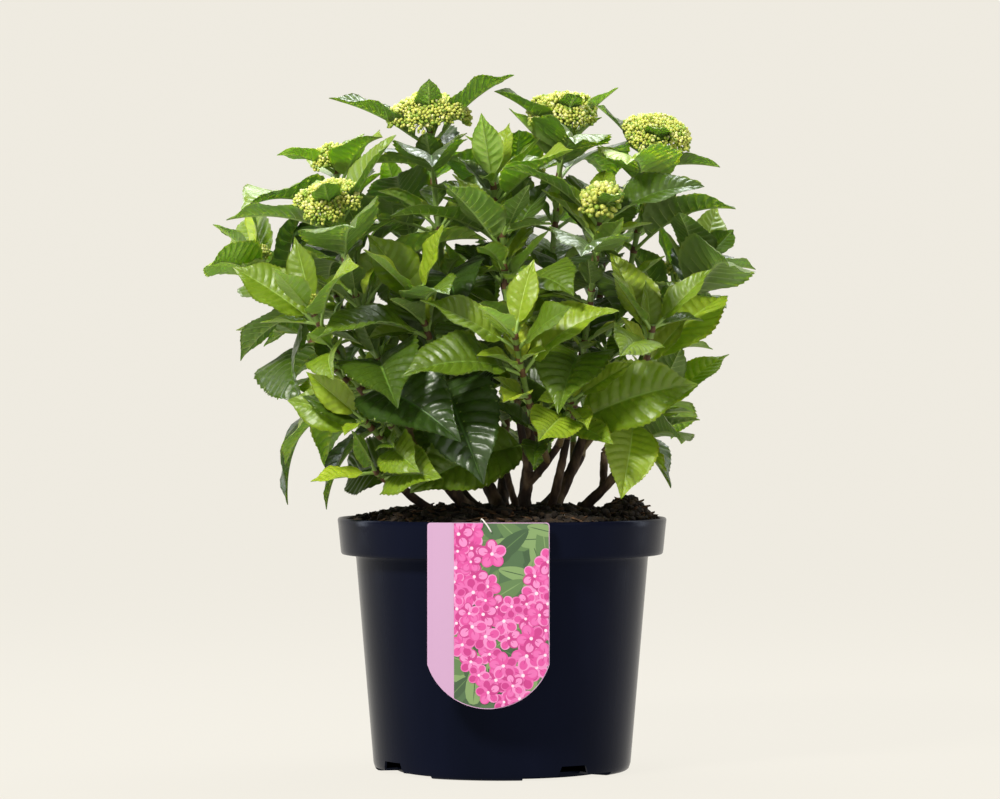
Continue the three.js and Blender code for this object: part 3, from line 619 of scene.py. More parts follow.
# ---------------------------------------------------------------- mesh building
class Build:
    """Gathers vertices in millimetres, faces and their materials, and makes one object of them."""

    def __init__(self):
        self.verts, self.faces, self.mats, self.used = [], [], [], []
        self.count = 0

    def slot_of(self, material):
        if material not in self.used:
            self.used.append(material)
        return self.used.index(material)

    def add(self, verts, faces, materials):
        verts = np.asarray(verts, float).reshape(-1, 3)
        if isinstance(materials, bpy.types.Material):
            materials = [materials] * len(faces)
        base = self.count
        self.verts.append(verts)
        self.faces += [tuple(base + i for i in f) for f in faces]
        index = {id(m): self.slot_of(m) for m in set(materials)}
        self.mats += [index[id(m)] for m in materials]
        self.count += len(verts)

    def object(self, name, slot, replaces=(), smooth=True, sharp=None):
        mesh = bpy.data.meshes.new(name)
        mesh.from_pydata((np.concatenate(self.verts) * 0.001).tolist(), [], self.faces)
        for material in self.used:
            mesh.materials.append(material)
        mesh.polygons.foreach_set("material_index", self.mats)
        mesh.polygons.foreach_set("use_smooth", [smooth] * len(mesh.polygons))
        mesh.update()
        if sharp is not None:
            mesh.set_sharp_from_angle(angle=math.radians(sharp))
        obj = bpy.data.objects.new(name, mesh)
        bpy.context.scene.collection.objects.link(obj)
        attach(obj, "root")
        if replaces:
            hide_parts(*replaces)
        return obj


def around(radius, count):
    """Places on a circle, from angle nought on."""
    steps = [i * 2 * math.pi / count for i in range(count)]
    return [(radius * math.cos(a), radius * math.sin(a)) for a in steps]


def grid_faces(rows, columns, closed=False):
    """Quads between rows of points, wrapping round when closed."""
    last = columns if closed else columns - 1
    faces = []
    for i in range(rows - 1):
        for j in range(last):
            k = (j + 1) % columns
            here, above = i * columns, (i + 1) * columns
            faces.append((here + j, here + k, above + k, above + j))
    return faces


def tube(points, radii, sides, tangents=None, caps=True, wobble=None):
    """A closed tube along points, as vertices and faces."""
    points = np.asarray(points, float)
    if tangents is None:
        tangents = np.gradient(points, axis=0)
    tangents = tangents / np.linalg.norm(tangents, axis=1, keepdims=True)
    across = np.cross(tangents, arr(0.13, 0.98, 0.11))
    across /= np.linalg.norm(across, axis=1, keepdims=True)
    other = np.cross(tangents, across)
    angles = np.arange(sides) * 2 * math.pi / sides
    radii = np.broadcast_to(np.asarray(radii, float), len(points))[:, None] * np.ones(sides)
    if wobble is not None:
        radii = radii * wobble
    ring = (
        points[:, None]
        + across[:, None] * (radii * np.cos(angles))[..., None]
        + other[:, None] * (radii * np.sin(angles))[..., None]
    )
    faces = grid_faces(len(points), sides, True)
    if caps:
        faces.append(tuple(range(sides))[::-1])
        faces.append(tuple((len(points) - 1) * sides + i for i in range(sides)))
    return ring.reshape(-1, 3), faces


def small_ball():
    """An icosahedron of radius one, for buds, crumbs and chips."""
    g = (1 + math.sqrt(5)) / 2
    points = [
        (-1, g, 0), (1, g, 0), (-1, -g, 0), (1, -g, 0), (0, -1, g), (0, 1, g),
        (0, -1, -g), (0, 1, -g), (g, 0, -1), (g, 0, 1), (-g, 0, -1), (-g, 0, 1),
    ]
    faces = [
        (0, 11, 5), (0, 5, 1), (0, 1, 7), (0, 7, 10), (0, 10, 11), (1, 5, 9), (5, 11, 4),
        (11, 10, 2), (10, 7, 6), (7, 1, 8), (3, 9, 4), (3, 4, 2), (3, 2, 6), (3, 6, 8),
        (3, 8, 9), (4, 9, 5), (2, 4, 11), (6, 2, 10), (8, 6, 7), (9, 8, 1),
    ]
    return np.array([unit(arr(*p)) for p in points]), faces


BALL, BALL_FACES = small_ball()


# ---------------------------------------------------------------- leaves
def leaf_rows(veins, between):
    """Rows of a leaf's grid, from base to tip: place at the midrib, phase between two side veins,
    and whether the strip above the row is a vein. Rows run out along the side veins."""
    places = [0.05 + 0.80 * (k / (veins - 1)) ** 0.92 for k in range(veins)]
    rows = [(0.0, 0.0, False), (0.022, 0.6, False)]
    for k, place in enumerate(places):
        rows += [(place, 0.0, True), (place, 0.0, False)]
        following = places[k + 1] if k + 1 < veins else 1.0
        count = between if k + 1 < veins else between - 1
        for i in range(1, count + 1):
            phase = i / (count + 1)
            rows.append((mix(place, following, phase), phase, False))
    rows.append((1.0, 0.0, False))
    return rows


MIDRIB = 0.028
COLUMNS = arr(-1, -0.86, -0.62, -0.36, -0.15, -MIDRIB, 0, MIDRIB, 0.15, 0.36, 0.62, 0.86, 1)
FEWER_COLUMNS = arr(-1, -0.66, -0.3, -MIDRIB * 1.4, 0, MIDRIB * 1.4, 0.3, 0.66, 1)
NEXT_TO_EDGE = 0.86
SMALL_LEAF = 55  # shorter leaves have fewer veins
SWEEP = 0.14  # how far the side veins run forwards
VEIN_HALF_WIDTH = 0.004
TOOTH_OUT = 0.028
TOOTH_FORWARD = 0.010
TIP_FROM, TIP_RUN, TIP_NARROWING = 0.72, 0.2, 0.3
QUILT_DEPTH = (0.016, 0.009)
WAVE_DEPTH = 0.026
GROOVE_DEPTH = 0.006
BLADE_THICKNESS, RIB_THICKNESS, EDGE_THICKNESS = 0.35, 1.0, 0.12
STALK_RADII = [1.7, 1.45, 1.3, 1.2, 1.2, 1.25, 1.0, 0.5]


def saw_edge(rows):
    """For each row 1 at a tooth's tip and -1 at a notch. A side vein ends in a tip."""
    tooth = np.zeros(len(rows))
    run = 0
    for i, (_, phase, _) in enumerate(rows):
        if phase == 0:
            tooth[i] = 1 if 0 < i < len(rows) - 1 else 0
            run = 0
        else:
            run += 1
            tooth[i] = 1 if run % 2 == 0 else -1
    return tooth[:, None]


def leaf_skins(leaf, rows, across, random):
    """Points of the upper and the under skin, and how far along the leaf each lies."""
    s = across[None] * np.ones(len(rows))[:, None]
    v = np.array([row[0] for row in rows])[:, None] * np.ones(len(across))
    phase = np.array([row[1] for row in rows])[:, None] * np.ones(len(across))
    side = np.abs(s)
    vein_half = VEIN_HALF_WIDTH * (1 - 0.75 * side)
    for i, (_, _, vein) in enumerate(rows):
        if vein:
            v[i] -= vein_half[i]
            v[i + 1] += vein_half[i + 1]
    u = np.clip(v + SWEEP * side**1.25 * 4 * v * (1 - v), 0, 1)
    # the outline: teeth along the edge, and a tip that is drawn out
    tooth = saw_edge(rows)
    edge = np.where(side > 0.99, 1.0, 0.0) + np.where(np.abs(side - NEXT_TO_EDGE) < 0.01, 0.2, 0.0)
    tip = np.clip((u - TIP_FROM) / TIP_RUN, 0, 1)
    widen = (1 + tooth * edge * TOOTH_OUT) * (1 - TIP_NARROWING * tip**2 * (3 - 2 * tip))
    u = np.clip(u + np.where(tooth > 0, TOOTH_FORWARD, 0) * edge * 4 * u * (1 - u), 0, 1)
    points, normal = leaf.blade(u, s, widen)
    # the relief: quilted between the veins, grooved at the midrib, with a slow wave at the edge
    quilt = np.sin(np.pi * phase) ** 0.7 * np.clip((side - MIDRIB) / 0.16, 0, 1)
    quilt = quilt * (1 - 0.75 * side**3)
    deep = leaf.length * (QUILT_DEPTH[0] + QUILT_DEPTH[1] * random())
    wave = np.sin(2 * np.pi * (u * (1.6 + random()) + random())) * side**2.2
    wave = WAVE_DEPTH * leaf.length * wave * (np.sign(s + 1e-9) if random() > 0.5 else 1)
    groove = -GROOVE_DEPTH * leaf.length * np.clip(1 - side / 0.12, 0, 1)
    ends = np.clip(u * 12, 0, 1) * np.clip((1 - u) * 7, 0, 1)
    top = points + normal * ((quilt * deep + wave + groove) * ends)[..., None]
    thick = BLADE_THICKNESS + np.where(side < MIDRIB / 2, RIB_THICKNESS, 0) * (1 - 0.8 * u)
    thick = np.where(side > 0.99, EDGE_THICKNESS, thick)
    return top, top - normal * thick[..., None], u


def leaf_mesh(build, leaf, random):
    young = leaf.pair == YOUNG
    across = FEWER_COLUMNS if young else COLUMNS
    if leaf.length < SMALL_LEAF:
        rows = leaf_rows(7 if young else 8, 2)
    else:
        rows = leaf_rows(10, 3)
    top, under, u = leaf_skins(leaf, rows, across, random)
    columns, strips = len(across), len(rows) - 1
    count = len(rows) * columns
    upper = [f[::-1] for f in grid_faces(len(rows), columns)]
    faces = upper + [tuple(count + k for k in f[::-1]) for f in upper]
    tops, veins = LEAF_TOPS[leaf.tone], LEAF_VEINS[leaf.tone]
    unders = UNDER_FRESH if leaf.tone > MIDDLE_TONE else UNDER_DULL
    materials, under_materials = [], []
    for i in range(strips):
        for j in range(columns - 1):
            middle = abs(across[j] + across[j + 1]) / 2 < MIDRIB and u[i, columns // 2] < 0.93
            side_vein = rows[i][2] and 1 < j < columns - 3
            materials.append(veins if middle else tops)
            under_materials.append(UNDER_VEIN if middle or side_vein else unders)
    materials += under_materials
    for j, flip in ((0, False), (columns - 1, True)):
        for i in range(strips):
            a, b = i * columns + j, (i + 1) * columns + j
            quad = (a, b, count + b, count + a)
            faces.append(quad[::-1] if flip else quad)
            materials.append(unders)
    build.add(np.concatenate([top.reshape(-1, 3), under.reshape(-1, 3)]), faces, materials)
    # the stalk, from inside the stem to the blade's base and on under the midrib
    base = leaf.blade(arr(0), arr(0))[0][0]
    path = leaf.foot + (base - leaf.foot) * np.linspace(0, 1, 6)[:, None]
    inner, _, inner_normal = leaf.midrib(arr(0.03, 0.08))
    path = np.concatenate([path, inner - inner_normal * 0.6])
    verts, faces = tube(path, STALK_RADII, 8)
    build.add(verts, faces, PETIOLE_GREEN)


# Tones are dealt out at random, from a lighter hand for young leaves and for those near the tip.
YOUNG_TONES = (1, 2, 3, 4, 4, 5)
TIP_TONES = (3, 4, 4, 5)
SECOND_TONES = (1, 2, 3, 3, 4)
OLDER_TONES = (0, 0, 1, 1, 2, 2, 3, 3, 4)


def tone_of(leaf, random):
    hands = {YOUNG: YOUNG_TONES, 0: TIP_TONES, 1: SECOND_TONES}
    return pick(random, hands.get(leaf.pair, OLDER_TONES))


random = random_from(SEED + 7)
for name, *_ in SHOOTS:
    build = Build()
    for leaf in leaves[name]:
        leaf.tone = tone_of(leaf, random)
        leaf_mesh(build, leaf, random)
    build.object("leaves_" + name[6:], "foliage", [name])


# ---------------------------------------------------------------- green shoots
def smooth_noise(shape, random, cells):
    """Random values on a coarse grid, blended to a smooth field that wraps round its columns."""
    rows, columns = shape
    coarse = np.array([[random() * 2 - 1 for _ in range(cells[1])] for _ in range(cells[0] + 1)])
    y = np.linspace(0, cells[0], rows)
    x = np.arange(columns) * cells[1] / columns
    y0 = np.minimum(y.astype(int), cells[0] - 1)
    x0 = x.astype(int)
    fy = (y - y0)[:, None]
    fx = (x - x0)[None]
    fy, fx = fy * fy * (3 - 2 * fy), fx * fx * (3 - 2 * fx)
    x1 = (x0 + 1) % cells[1]
    a, b = coarse[y0][:, x0], coarse[y0][:, x1]
    c, d = coarse[y0 + 1][:, x0], coarse[y0 + 1][:, x1]
    return mix(mix(a, b, fx), mix(c, d, fx), fy)


SHOOT_SIDES = 12
SHOOT_STEP = 2.2
NODE_SWELLING = 0.75
NODE_REACH = 1.6
WOODY_FOOT = 24

build = Build()
for name, *_ in SHOOTS:
    spine = spines[name]
    length = spine.length()
    count = max(12, int(length / SHOOT_STEP))
    t = np.linspace(0, 1, count)
    points = spine.point(t)
    radii = mix(SHOOT_RADII[0], SHOOT_RADII[1], t)
    near = np.full(count, 99.0)
    for node in sorted({round(leaf.t, 4) for leaf in leaves[name]}):
        near = np.minimum(near, np.abs(t - node) * length)
    radii = radii + NODE_SWELLING * np.exp(-((near / 2.2) ** 2))
    radii = radii + 0.25 * np.exp(-((t * length / 4) ** 2))
    wobble = 1 + 0.05 * smooth_noise((count, SHOOT_SIDES), random, (max(3, count // 8), 5))
    verts, faces = tube(points, radii, SHOOT_SIDES, spine.tangent(t), wobble=wobble)
    materials = []
    for f in faces:
        ring = f[0] // SHOOT_SIDES
        if near[ring] < NODE_REACH:
            materials.append(NODE_BROWN)
        else:
            materials.append(SHOOT_BROWN if t[ring] * length < WOODY_FOOT else SHOOT_GREEN)
    build.add(verts, faces, materials)
build.object("shoot_stems", "foliage")

# ---------------------------------------------------------------- woody stems
LIMB_SIDES = 22
LIMB_STEP = 1.3
FLARE_ON_SOIL, FLARE_ON_LIMB = 0.9, 0.3
RIDGE, FLAKE, KNOT = 0.09, 0.07, 0.16  # heights of the bark's forms, as shares of the radius

build = Build()
for name, _, at, _, (foot_radius, tip_radius) in LIMBS:
    spine = spines[name]
    length = spine.length()
    count = int(length / LIMB_STEP)
    t = np.linspace(0, 1, count)
    flare = FLARE_ON_SOIL if at is None else FLARE_ON_LIMB
    radii = mix(foot_radius, tip_radius, t) + flare * np.maximum(0, 1 - t * 5)
    ridges = smooth_noise((count, LIMB_SIDES), random, (max(4, int(length / 9)), 9))
    flakes = smooth_noise((count, LIMB_SIDES), random, (max(6, int(length / 3.5)), 11))
    knots = np.zeros((count, LIMB_SIDES))
    for _ in range(max(2, int(length / 16))):
        at_row, at_side = random() * count, random() * LIMB_SIDES
        away = np.abs(np.arange(LIMB_SIDES) - at_side)
        away = np.minimum(away, LIMB_SIDES - away)
        bump = ((np.arange(count) - at_row) ** 2 / 7)[:, None] + (away**2 / 6)[None]
        knots += KNOT * np.exp(-bump)
    wobble = 1 + RIDGE * ridges + FLAKE * np.sign(flakes) * np.abs(flakes) ** 0.5 + knots
    verts, faces = tube(spine.point(t), radii, LIMB_SIDES, spine.tangent(t), wobble=wobble)
    materials = [BARK] * len(faces)
    materials[-1] = CUT_WOOD if name == "stub_cut" else BARK
    build.add(verts, faces, materials)
build.object("woody_stems", "wood", [limb[0] for limb in LIMBS])


# ---------------------------------------------------------------- flower heads
BUD_RADIUS, LARGE_BUD_RADIUS = 1.2, 1.85
LARGE_BUDS = "shoot_front_right"  # the small head whose buds are the furthest on
WIDE_LOBES = ((0.5, 5), (0.95, 9))  # rings of umbels: share of the radius, and how many
FEW_LOBES = ((0.68, 6),)
# Bud tones: buds on top of each umbel take the paler tones, those on its sides the greener, darker
# ones. This is partly the buds' own mix of yellow and green, and partly painted light on the tops
# and painted shade on the sides between umbels.
TOP_BUDS_WITH_PAINTED_LIGHT = (0, 0, 2, 1, 0, 3)
SIDE_BUDS_WITH_PAINTED_SHADE = (0, 1, 1, 3)
GOLDEN_TURN = 2.39996
STEMS_SHOWN = 0.35  # share of the buds whose own stem is made


def bud_cluster(build, name, head, random):
    """Buds in small round umbels, on rays that leave the shoot's tip, making one lumpy dome."""
    radius = head.width / 2
    large = name == LARGE_BUDS
    size = LARGE_BUD_RADIUS if large else BUD_RADIUS
    wide = head.width > WIDE_HEAD and not large
    lobes = [(0.0, 0.0)]
    for share, count in WIDE_LOBES if wide else FEW_LOBES:
        for i in range(count):
            angle = (i + 0.6 * random()) * 2 * math.pi / count
            lobes.append((share * (0.88 + 0.2 * random()), angle))
    places, tones, hubs = [], [], []
    for share, angle in lobes:
        lobe_radius = radius / (3.0 if wide else 2.2) * (0.8 + 0.4 * random())
        outward = head.across * math.cos(angle) + head.other * math.sin(angle)
        axis = unit(head.along + outward * 0.95 * share)
        raised = head.dome(share) + 4.2 * (random() - 0.45) - (3.5 if large else 0) * share
        top = head.point(radius * share * 0.86, angle, raised)
        hub = top - axis * lobe_radius * 0.85
        cap = 2 * math.pi * lobe_radius**2 * 0.9
        count = int(cap / (2 * size) ** 2 * 1.1)
        first = unit(np.cross(axis, arr(0.3, 0.2, 0.9)))
        second = np.cross(axis, first)
        for i in range(count):
            fall = 1 - 0.98 * (i + 0.5) / count
            turn = i * GOLDEN_TURN + angle + 0.35 * random()
            reach = math.sqrt(1 - fall * fall)
            way = axis * fall * 0.75 + (first * math.cos(turn) + second * math.sin(turn)) * reach
            places.append(hub + way * lobe_radius * (0.86 + 0.26 * random()))
            # painted shade: an umbel's side buds take greener, darker tones, its top buds paler
            # ones
            tones.append(pick(random, TOP_BUDS_WITH_PAINTED_LIGHT if fall > 0.4 else SIDE_BUDS_WITH_PAINTED_SHADE))
            hubs.append(hub)
        bend = head.point(radius * share * 0.35, angle, 3)
        t = np.linspace(0, 1, 6)[:, None]
        path = (1 - t) ** 2 * head.foot + 2 * t * (1 - t) * bend + t * t * hub
        build.add(*tube(path, np.linspace(1.2, 0.75, 6), 6), RAY_GREEN)
    places = np.array(places)
    keep = np.ones(len(places), bool)
    for leaf in leaves[name][:4]:
        keep &= distances_to_faces(places, leaf.surface()[1]) > size + 0.7
    for k in np.flatnonzero(keep):
        place, hub = places[k], hubs[k]
        verts = BALL * size * (0.7 + 0.5 * random())
        away = unit(place - hub)
        verts = verts + np.outer(verts @ away, away) * 0.35
        build.add(verts + place, BALL_FACES, BUDS[tones[k]])
        if random() < STEMS_SHOWN:
            ends = np.array([place, mix(place, hub, 0.85)])
            build.add(*tube(ends, [0.4, 0.35], 3, caps=False), RAY_GREEN)


FRONT_HALF = 30  # heads nearer than this are in the front piece

front, back = Build(), Build()
for name, head in heads.items():
    bud_cluster(front if head.foot[1] < FRONT_HALF else back, name, head, random)
front.object("bud_heads_front", "foliage")
back.object("bud_heads_back", "foliage")


# ---------------------------------------------------------------- soil
SOIL_REACH = RIM_RADIUS - WALL - 1.0
SOIL_RINGS, SOIL_SPOKES = 74, 168
SOIL_FOOT = 158
ROUGHNESS_OF_SOIL = 1.5
NEAR_RIM, MOST_NEAR_RIM = 106, 173.5  # by the rim the soil stays under its lip
CRUMBS, LUMP_CRUMBS = 1500, 210
CRUMB_REACH = 108
CHIP_SHARE = 0.14


def soil_height(radius):
    slope = np.clip((radius - SOIL_FLAT_RADIUS) / (RIM_RADIUS - 4 - SOIL_FLAT_RADIUS), 0, 1)
    return mix(SOIL_LEVEL, SOIL_EDGE, slope)


def lump_at(x, y):
    across = ((x - LUMP["x"]) / (LUMP["spread"] * 0.62)) ** 2
    deep = ((y - LUMP["y"]) / (LUMP["spread"] * 0.9)) ** 2
    return LUMP["height"] * np.exp(-across - deep)


def crumb(random):
    """An uneven bit of soil or a long chip of bark, turned at random: points, size, material."""
    size = 0.9 + 2.6 * random() ** 2.2
    chip = random() < CHIP_SHARE
    stretch = arr(1 + random(), 0.7 + 0.4 * random(), 0.6 + 0.3 * random()) * size
    if chip:
        stretch = arr(2.6 + 2.5 * random(), 0.9, 0.6) * (1.1 + random())
    uneven = np.array([random() for _ in range(12)])[:, None] - 0.5
    turn, tip = random() * 2 * math.pi, (random() - 0.5) * 0.9
    c, d = math.cos(turn), math.sin(turn)
    spin = np.array([[c, -d, 0], [d, c, 0], [0, 0, 1]])
    c, d = math.cos(tip), math.sin(tip)
    tilt = np.array([[c, 0, d], [0, 1, 0], [-d, 0, c]])
    points = BALL * (1 + 0.35 * uneven) * stretch
    return points @ tilt.T @ spin.T, size, SOIL_BARK if chip else SOIL


build = Build()
shape = (SOIL_RINGS, SOIL_SPOKES)
field = smooth_noise(shape, random, (22, 56)) + 0.7 * smooth_noise(shape, random, (44, 120))
verts = []
for i in range(SOIL_RINGS):
    radius = SOIL_REACH * (i / (SOIL_RINGS - 1))
    for j, (x, y) in enumerate(around(radius, SOIL_SPOKES)):
        rough = ROUGHNESS_OF_SOIL * field[i, j] * min(1, radius / 12)
        height = soil_height(radius) + rough + lump_at(x, y) - 0.6
        verts.append((x, y, min(height, MOST_NEAR_RIM) if radius > NEAR_RIM else height))
verts += [(x, y, SOIL_FOOT) for x, y in around(SOIL_REACH, SOIL_SPOKES)]
build.add(verts, grid_faces(SOIL_RINGS + 1, SOIL_SPOKES, True), SOIL)
for i in range(CRUMBS):
    if i < LUMP_CRUMBS:
        x = LUMP["x"] + (random() - 0.5) * LUMP["spread"] * 1.5
        y = LUMP["y"] + (random() - 0.5) * LUMP["spread"] * 2.2
    else:
        away = CRUMB_REACH * math.sqrt(random())
        angle = random() * 2 * math.pi
        x, y = away * math.cos(angle), away * math.sin(angle)
    away = math.hypot(x, y)
    if away > CRUMB_REACH:
        continue
    points, size, material = crumb(random)
    z = float(soil_height(away)) + float(lump_at(x, y)) + 0.4 + 0.5 * size * random()
    points = points + arr(x, y, z)
    outside = max(0, float(np.hypot(points[:, 0], points[:, 1]).max()) - SOIL_REACH + 1.5)
    build.add(points - arr(x, y, 0) * (outside / max(away, 1)), BALL_FACES, material)
build.object("soil_surface", "soil", ["soil"], sharp=50)

# ---------------------------------------------------------------- pot
RIM_BOTTOM = POT_HEIGHT - RIM_BAND
POT_SPOKES = 144
POT_SHARP = 35
CUT_PAST = 8  # how far the cutters reach past the foot
DRAIN_DEEP = 20


def pot_profile():
    """Outside from the floor's middle up to the lip, and back down the inside."""

    def body(z):
        return mix(BASE_RADIUS, BODY_TOP_RADIUS, z / RIM_BOTTOM)

    def rim(z):
        return mix(RIM_LOW_RADIUS, RIM_RADIUS, (z - RIM_BOTTOM) / RIM_BAND)

    neck = body(RIM_BOTTOM)
    return [
        (30, 0), (60, 0), (BASE_RADIUS - 8, 0), (BASE_RADIUS - 4, 0),
        (BASE_RADIUS - 2, 0.35), (BASE_RADIUS - 0.8, 1.3), (BASE_RADIUS - 0.25, 2.8), (body(5), 5),
        *((body(z), z) for z in np.linspace(9, RIM_BOTTOM - 3, 22)),
        (neck + 0.1, RIM_BOTTOM - 1.4), (neck + 0.9, RIM_BOTTOM - 0.3), (neck + 2, RIM_BOTTOM),
        (RIM_LOW_RADIUS - 2, RIM_BOTTOM), (RIM_LOW_RADIUS - 0.6, RIM_BOTTOM + 0.3),
        (RIM_LOW_RADIUS, RIM_BOTTOM + 1.2),
        *((rim(RIM_BOTTOM + up), RIM_BOTTOM + up) for up in (3, 9, 15, 20)),
        (RIM_RADIUS - 0.05, POT_HEIGHT - 1.6), (RIM_RADIUS - 0.3, POT_HEIGHT - 0.6),
        (RIM_RADIUS - 0.8, POT_HEIGHT), (RIM_RADIUS - 1.4, POT_HEIGHT - 0.3),
        (RIM_RADIUS - WALL - 0.1, POT_HEIGHT - 1.2),
        (rim(POT_HEIGHT - 12) - WALL, POT_HEIGHT - 12), (RIM_LOW_RADIUS - WALL, RIM_BOTTOM + WALL),
        (BODY_TOP_RADIUS - WALL, RIM_BOTTOM + WALL - 0.5), (body(70) - WALL, 70),
        (body(FLOOR) - WALL, FLOOR),
    ]


build = Build()
profile = pot_profile()
verts = [(x, y, z) for r, z in profile for x, y in around(r, POT_SPOKES)]
bottom, top = len(verts), len(verts) + 1
verts += [(0, 0, 0), (0, 0, FLOOR)]
faces = grid_faces(len(profile), POT_SPOKES, True)
last = (len(profile) - 1) * POT_SPOKES
faces += [(bottom, (j + 1) % POT_SPOKES, j) for j in range(POT_SPOKES)]
faces += [(top, last + j, last + (j + 1) % POT_SPOKES) for j in range(POT_SPOKES)]
build.add(verts, faces, POT)
pot = build.object("pot_shell", "pot", ["pot"], sharp=POT_SHARP)


def cutter(near, far):
    """A prism between two outlines."""
    n = len(near)
    mesh = bpy.data.meshes.new("cutter")
    faces = [tuple(range(n))[::-1], tuple(range(n, 2 * n))]
    faces += [(i, (i + 1) % n, n + (i + 1) % n, n + i) for i in range(n)]
    mesh.from_pydata([tuple(0.001 * c for c in p) for p in [*near, *far]], [], faces)
    obj = bpy.data.objects.new("cutter", mesh)
    bpy.context.scene.collection.objects.link(obj)
    return obj


cutters = []
for angle in DRAIN_ANGLES:
    middle = math.radians(angle - 90)
    half = math.radians(FOOT_RELIEF["halfAngle"])
    inner, reach = FOOT_RELIEF["innerRadius"], BASE_RADIUS + CUT_PAST
    steps = np.linspace(middle - half, middle + half, 13)
    ring = [(reach * math.cos(a), reach * math.sin(a)) for a in steps]
    ring += [(inner * math.cos(a), inner * math.sin(a)) for a in steps[::-1]]
    high = FOOT_RELIEF["height"]
    cutters.append(cutter([(x, y, -1) for x, y in ring], [(x, y, high) for x, y in ring]))
    out = arr(math.cos(middle), math.sin(middle), 0)
    side = arr(-math.sin(middle), math.cos(middle), 0)
    low, high = DRAIN["low"] / 2, DRAIN["high"] / 2
    shape = [(-low, -1), (low, -1), (high, DRAIN["height"]), (-high, DRAIN["height"])]
    shape = [side * x + arr(0, 0, z) for x, z in shape]
    near, far = ([out * r + corner for corner in shape] for r in (reach - DRAIN_DEEP, reach))
    cutters.append(cutter(near, far))
for one in cutters:
    cut = pot.modifiers.new("cut", "BOOLEAN")
    cut.object = one
    cut.operation = "DIFFERENCE"
    cut.solver = "EXACT"
    bpy.context.view_layer.update()
    evaluated = pot.evaluated_get(bpy.context.evaluated_depsgraph_get())
    mesh = bpy.data.meshes.new_from_object(evaluated)
    pot.modifiers.clear()
    pot.data = mesh
    bpy.data.objects.remove(one)
pot.data.polygons.foreach_set("use_smooth", [True] * len(pot.data.polygons))
pot.data.set_sharp_from_angle(angle=math.radians(POT_SHARP))

# ---------------------------------------------------------------- label and tie
LABEL_BACK = RIM_RADIUS + GAP
FRONT_Y, BACK_Y = -(LABEL_BACK + LABEL["thickness"]), -LABEL_BACK
LABEL_LOW, LABEL_HALF = LABEL["top"] - LABEL["height"], LABEL["width"] / 2
CARD_CORNER = 2.0
HOLE_X, HOLE_Z = LABEL_HOLE["x"] - LABEL["x"], LABEL_HOLE["z"]
HOLE_R = LABEL_HOLE["radius"]


def card_outline(inset=0.0, count=40):
    """Straight sides over a round foot, with small round corners at the top."""
    half, r = LABEL_HALF - inset, LABEL["bottomRadius"] - inset
    centre = LABEL_LOW + LABEL["bottomRadius"]
    reach = math.asin(min(1, half / r))
    arc = [-math.pi / 2 - reach + 2 * reach * i / count for i in range(count + 1)]
    outline = [(r * math.cos(a), centre + r * math.sin(a)) for a in arc]
    top = LABEL["top"] - inset - CARD_CORNER
    for x, start in ((half - CARD_CORNER, 0), (-half + CARD_CORNER, math.pi / 2)):
        turns = [start + k * math.pi / 12 for k in range(7)]
        outline += [(x + CARD_CORNER * math.cos(a), top + CARD_CORNER * math.sin(a)) for a in turns]
    return outline


def flat_piece(build, outline, y, material):
    """A flat polygon that faces the front."""
    verts = [(LABEL["x"] + x, y, z) for x, z in outline]
    build.add(verts, [tuple(range(len(verts)))], material)


build = Build()
outline = card_outline()
hole = [(HOLE_X + x, HOLE_Z + z) for x, z in around(HOLE_R, 24)]
both = outline + hole
m = len(both)
faces, materials = [], []
loops = [[Vector((x, z, 0)) for x, z in loop] for loop in (outline, hole)]
for a, b, c in tessellate_polygon(loops):
    (ax, az), (bx, bz), (cx, cz) = both[a], both[b], both[c]
    turn = (bx - ax) * (cz - az) - (bz - az) * (cx - ax)
    f = (a, b, c) if turn > 0 else (a, c, b)
    faces += [f, (m + f[0], m + f[2], m + f[1])]
    materials += [CARD, CARD_BACK]
for start, size, flip in ((0, len(outline), True), (len(outline), len(hole), False)):
    for i in range(size):
        a, b = start + i, start + (i + 1) % size
        quad = (a, b, m + b, m + a)
        faces.append(quad if flip else quad[::-1])
        materials.append(CARD_BACK)
verts = [(LABEL["x"] + x, y, z) for y in (FRONT_Y, BACK_Y) for x, z in both]
build.add(verts, faces, materials)
build.object("label_card", "label", ["label"], smooth=False)

# The print: a garland of round five-petalled blossoms over green leaves, thin as ink, beside a
# bare strip.
PRINT_GREEN = [
    plain("print_leaf_" + name, colour, 0.3, 0.3)
    for name, colour in (("a", 0x3E5A3A), ("b", 0x5E7D4C), ("c", 0x7F9C63))
]
PRINT_PINK = [
    plain("print_pink_" + name, colour, 0.35, 0.2)
    for name, colour in (("a", 0xD9509E), ("b", 0xE06BB0), ("c", 0xC43A88), ("d", 0xE88CC4))
]
PRINT_HEART = plain("print_heart", 0xF6D9E8, 0.3, 0.3)
PRINT_GROUND = plain("print_ground", 0x4C6A45, 0.3, 0.3)
STRIP = 17.5
PRINT_LEFT = STRIP - LABEL_HALF
INK = FRONT_Y - 0.02
INK_STEP = 0.0006
PRINT_LEAVES = 60
PRINT_TRIES = 1500
# the garland's middle line, its swing and half width, and the bunch in the upper left corner
GARLAND = {"below": 70, "swing": 20, "run": 11, "half": 36, "bunch": (10, 22)}


def clipped(outline, keep):
    """A polygon cut where keep(x, z) is below nought."""
    out = []
    for (x0, z0), (x1, z1) in zip(outline, outline[1:] + outline[:1]):
        d0, d1 = keep(x0, z0), keep(x1, z1)
        if d0 >= 0:
            out.append((x0, z0))
        if (d0 >= 0) != (d1 >= 0):
            t = d0 / (d0 - d1)
            out.append((mix(x0, x1, t), mix(z0, z1, t)))
    return out


ground = clipped(card_outline(0.5), lambda x, z: x - PRINT_LEFT)


def trimmed(shape):
    """A convex shape cut to the printed ground."""
    for (x0, z0), (x1, z1) in zip(ground, ground[1:] + ground[:1]):
        shape = clipped(shape, lambda x, z: (x1 - x0) * (z - z0) - (z1 - z0) * (x - x0))
        if len(shape) < 3:
            return []
    return shape


